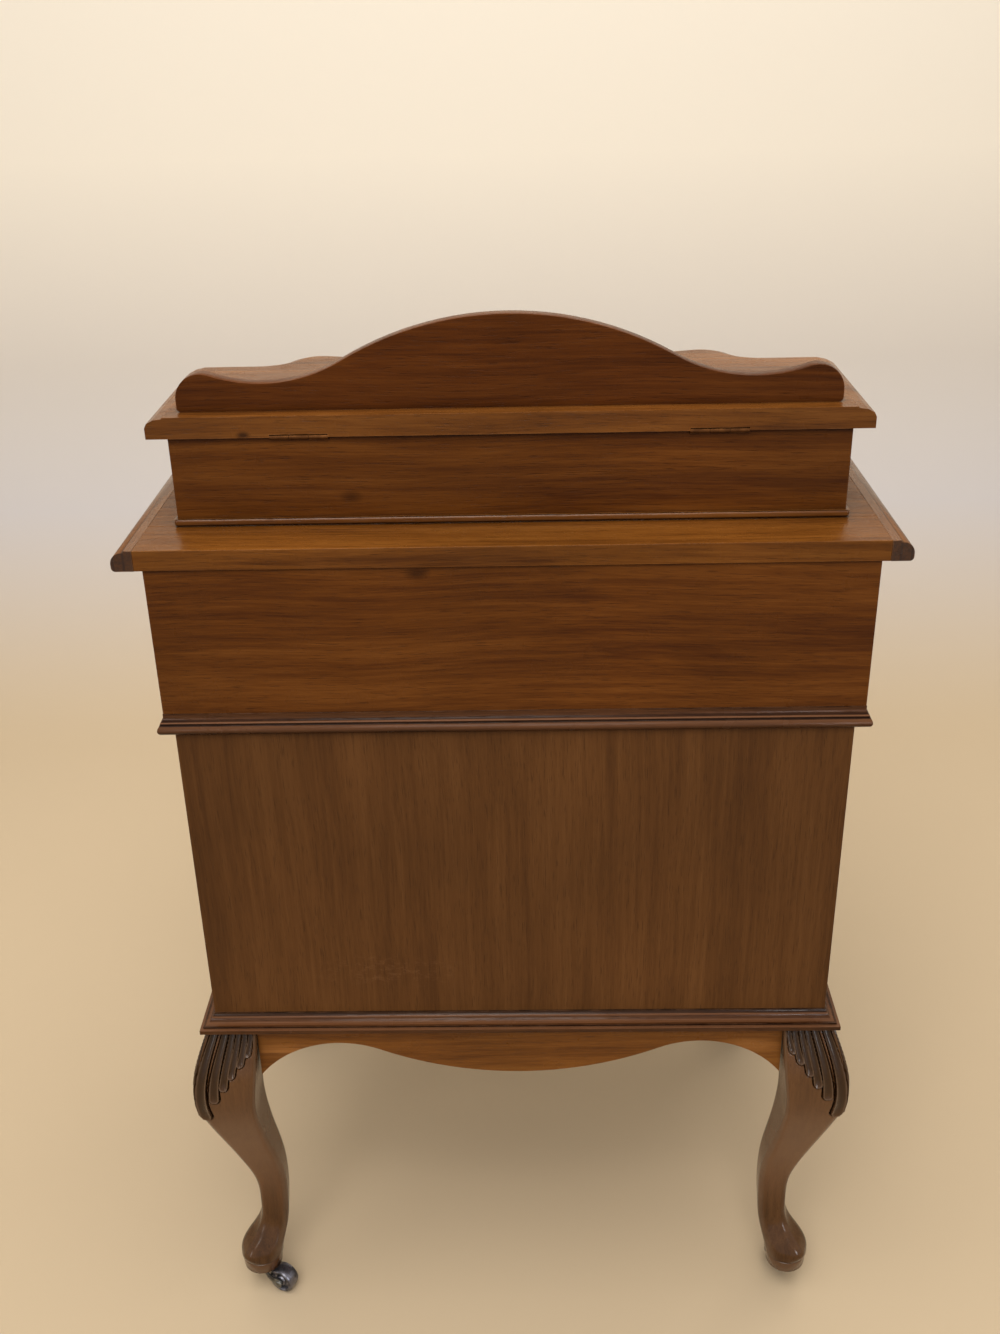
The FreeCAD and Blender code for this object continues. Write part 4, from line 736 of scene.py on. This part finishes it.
def horn(side):
    """One arm of a fork, swept from the crown to the axle: points as (trail, across, height)."""
    points, faces = [], []
    for step in range(HORN_STEPS + 1):
        share = step / HORN_STEPS
        trail = HORN_START + HORN_LENGTH * share
        height = HORN_TOP - HORN_FALL * smooth_step(share, 0.05, HORN_END)
        across = HORN_NEAR + HORN_SPREAD * smooth_step(share, 0.0, 0.45)
        width = HORN_HALF_WIDTH - HORN_WAIST * math.sin(math.pi * min(1.0, share * 1.25))
        width += HORN_EYE * smooth_step(share, 0.55, HORN_END)
        if share > HORN_END:
            width *= math.sqrt(max(0.02, 1 - ((share - HORN_END) / (1 - HORN_END)) ** 2))
        for corner in range(HORN_SIDES):
            angle = 2 * math.pi * corner / HORN_SIDES
            flat, edge = math.cos(angle), math.sin(angle)
            bulge = abs(flat) ** 0.5 * math.copysign(1, flat)
            points.append((trail, side * (across + HORN_HALF_DEPTH * bulge), height + width * edge))
    for step in range(HORN_STEPS):
        for corner in range(HORN_SIDES):
            after = (corner + 1) % HORN_SIDES
            below, above = step * HORN_SIDES, (step + 1) * HORN_SIDES
            faces.append((below + corner, below + after, above + after, above + corner))
    last = HORN_STEPS * HORN_SIDES
    faces.append(tuple(range(HORN_SIDES)))
    faces.append(tuple(last + corner for corner in reversed(range(HORN_SIDES))))
    return points, faces


def build_castor(corner):
    swivel = Vector(JOINTS[f"castor_{corner}_swivel"]["pos_m"]) / MM
    wheel = JOINTS[f"wheel_{corner}_spin"]
    hub, axle = Vector(wheel["pos_m"]) / MM, Vector(wheel["axis"])
    post = Vector((swivel.x, swivel.y, 0))
    behind = Vector((hub.x - swivel.x, hub.y - swivel.y, 0)).normalized()

    def on_axle(point):
        return tuple((hub + axle * point[0] + behind * point[1] + UP * point[2]) * MM)

    def on_swivel(point):
        return tuple((post + behind * point[0] + axle * point[1] + UP * point[2]) * MM)

    profile = WHEEL_HALF + [(-length, radius) for length, radius in reversed(WHEEL_HALF)]
    points, faces = spun(profile, closed=True)
    mesh_piece(f"wheel_tyre_{corner}", [on_axle(p) for p in points], faces, wheel_iron,
               f"wheel_{corner}", f"castor_wheel_{corner}", smooth=50)
    placed, joined = [], []
    parts = [(on_swivel, horn(1)), (on_swivel, horn(-1))]
    for side in (1, -1):
        caps = [(side * length, radius) for length, radius in AXLE_CAP]
        parts.append((on_axle, spun(caps, closed=False, steps=24)))
    turned, rings = spun(CROWN, closed=True)
    parts.append((on_swivel, ([(y, z, length) for length, y, z in turned], rings)))
    for put, (points, faces) in parts:
        start = len(placed)
        placed += [put(p) for p in points]
        joined += [tuple(start + index for index in face) for face in faces]
    mesh_piece(f"castor_horn_{corner}", placed, joined, iron, f"castor_{corner}",
               f"castor_fork_{corner}", smooth=50)


for corner in CORNERS:
    build_castor(corner)


# Stage, light and camera

# Floor's edge behind the camera, the wall's place, the bend between them, the wall's top and half the width
STAGE_NEAR, STAGE_FAR, STAGE_BEND, STAGE_TOP, STAGE_HALF = 1.35, -1.3, 0.5, 3.2, 6.0
BEND_STEPS = 12
FLOOR_TONE, LOW_WALL_TONE, WALL_TONE = (0.54, 0.43, 0.295), (0.6, 0.57, 0.57), (0.94, 0.88, 0.78)
# Heights where the floor's colour has turned into the low wall's and that into the wall's
LOW_WALL, HIGH_WALL = 0.25, 0.85


def backdrop():
    """A pale floor that curves up into a paler wall, clear when it is seen from behind."""
    foot = STAGE_FAR + STAGE_BEND
    profile = [(STAGE_NEAR, 0.0), (foot, 0.0)]
    for step in range(1, BEND_STEPS + 1):
        angle = math.radians(90 * step / BEND_STEPS)
        profile.append((foot - STAGE_BEND * math.sin(angle), STAGE_BEND - STAGE_BEND * math.cos(angle)))
    profile.append((STAGE_FAR, STAGE_TOP))
    points = [(x, y, z) for y, z in profile for x in (-STAGE_HALF, STAGE_HALF)]
    faces = [(2 * i, 2 * i + 2, 2 * i + 3, 2 * i + 1) for i in range(len(profile) - 1)]
    mesh = bpy.data.meshes.new("backdrop")
    mesh.from_pydata(points, [], faces)
    mesh.shade_smooth()
    sweep = bpy.data.objects.new("backdrop", mesh)
    SCENE.collection.objects.link(sweep)
    s = Shader("backdrop")
    height = s.axis(s.place(), "z")
    low_wall = s.mix(s.span(height, 0.0, LOW_WALL), FLOOR_TONE, LOW_WALL_TONE)
    tone = s.mix(s.span(height, LOW_WALL, HIGH_WALL), low_wall, WALL_TONE)
    s.set(Base_Color=tone, Roughness=0.6, Specular_IOR_Level=0.0)
    behind = s.add("NewGeometry", {}, out="Backfacing")
    clear = s.add("BsdfTransparent", {})
    shown = s.add("MixShader", {0: behind, 1: s.surface.outputs[0], 2: clear})
    s.tree.links.new(shown, s.tree.nodes["Material Output"].inputs["Surface"])
    mesh.materials.append(s.material)


backdrop()


# Strength of the world's light by the height of its direction, and where eyes and polish see it
WORLD_RANGE = {"From Min": -0.1, "From Max": 0.7, "To Min": 0.02, "To Max": 0.55}
WORLD_SHOWN = 0.82
WORLD_TONE = (1.0, 0.95, 0.88, 1)


def studio():
    """A world that lights softly from above, and is plain and pale where it is seen or mirrored."""
    world = bpy.data.worlds.new("studio")
    world.use_nodes = True
    tree = world.node_tree
    towards = tree.nodes.new("ShaderNodeTexCoord")
    parts = tree.nodes.new("ShaderNodeSeparateXYZ")
    tree.links.new(towards.outputs["Generated"], parts.inputs[0])
    level = tree.nodes.new("ShaderNodeMapRange")
    for socket, value in WORLD_RANGE.items():
        level.inputs[socket].default_value = value
    tree.links.new(parts.outputs["Z"], level.inputs["Value"])
    background = tree.nodes["Background"]
    background.inputs["Color"].default_value = WORLD_TONE
    seen = tree.nodes.new("ShaderNodeLightPath")
    shown = tree.nodes.new("ShaderNodeMix")
    shown.inputs[3].default_value = WORLD_SHOWN
    share = seen.outputs["Is Camera Ray"]
    for kind in ("Is Glossy Ray", "Is Transmission Ray"):
        joined = tree.nodes.new("ShaderNodeMath")
        tree.links.new(share, joined.inputs[0])
        tree.links.new(seen.outputs[kind], joined.inputs[1])
        share = joined.outputs[0]
    tree.links.new(share, shown.inputs[0])
    tree.links.new(level.outputs[0], shown.inputs[2])
    tree.links.new(shown.outputs[0], background.inputs["Strength"])
    SCENE.world = world


studio()


def softbox(name, at, aim, size, power, lights=True, mirrored=True, colour=(1.0, 0.96, 0.9)):
    """A soft lamp that lights the object, shows in its polish, or both: metres and watts."""
    data = bpy.data.lights.new(name, "AREA")
    data.shape = "RECTANGLE"
    data.size, data.size_y = size
    data.energy = power
    data.color = colour
    lamp = bpy.data.objects.new(name, data)
    lamp.location = at
    lamp.visible_camera = False
    lamp.visible_diffuse = lights
    lamp.visible_glossy = mirrored
    lamp.rotation_mode = "QUATERNION"
    lamp.rotation_quaternion = (Vector(aim) - Vector(at)).to_track_quat("-Z", "Y")
    SCENE.collection.objects.link(lamp)


softbox("overhead", (0.2, 0.5, 2.7), (0, 0.1, 0.4), (2.4, 2.0), 43, mirrored=False)
softbox("camera_side", (0.35, 2.3, 2.7), (0, 0.2, 0.5), (1.8, 1.8), 54)
softbox("right_window", (-1.6, 2.2, 0.8), (-0.2, 0.2, 0.1), (0.26, 0.9), 11, lights=False,
        colour=(0.95, 0.97, 1.0))
softbox("left_window", (1.8, 2.1, 0.8), (0.2, 0.2, 0.1), (0.26, 0.9), 6, lights=False)
softbox("sitter_side", (-0.7, -1.0, 2.3), (0, -0.1, 0.6), (1.2, 1.2), 10, mirrored=False)

# Camera: its place in metres, its turn, and its focal length in pixels of the image's height
CAMERA_AT = (-0.01242, 1.1578, 1.0961)
YAW, PITCH, ROLL = math.radians(-1.3438), math.radians(26.17), math.radians(-1.3065)
IMAGE_FOCAL, IMAGE_HEIGHT, SENSOR = 1376.97, 1334, 36.0
right = Vector((-math.cos(YAW), math.sin(YAW), 0))
ahead = Vector((-math.sin(YAW), -math.cos(YAW), 0))
look = math.cos(PITCH) * ahead - math.sin(PITCH) * UP
above = math.sin(PITCH) * ahead + math.cos(PITCH) * UP
rolled_right = math.cos(ROLL) * right + math.sin(ROLL) * above
rolled_up = math.cos(ROLL) * above - math.sin(ROLL) * right
camera = bpy.data.objects.new("camera", bpy.data.cameras.new("camera"))
camera.data.sensor_width = SENSOR
camera.data.lens = IMAGE_FOCAL * SENSOR / IMAGE_HEIGHT
camera.data.clip_start = 0.01
turn = Matrix((rolled_right, rolled_up, -look)).transposed()
camera.matrix_world = Matrix.Translation(CAMERA_AT) @ turn.to_4x4()
SCENE.collection.objects.link(camera)
SCENE.camera = camera
SCENE.view_settings.view_transform = "Standard"
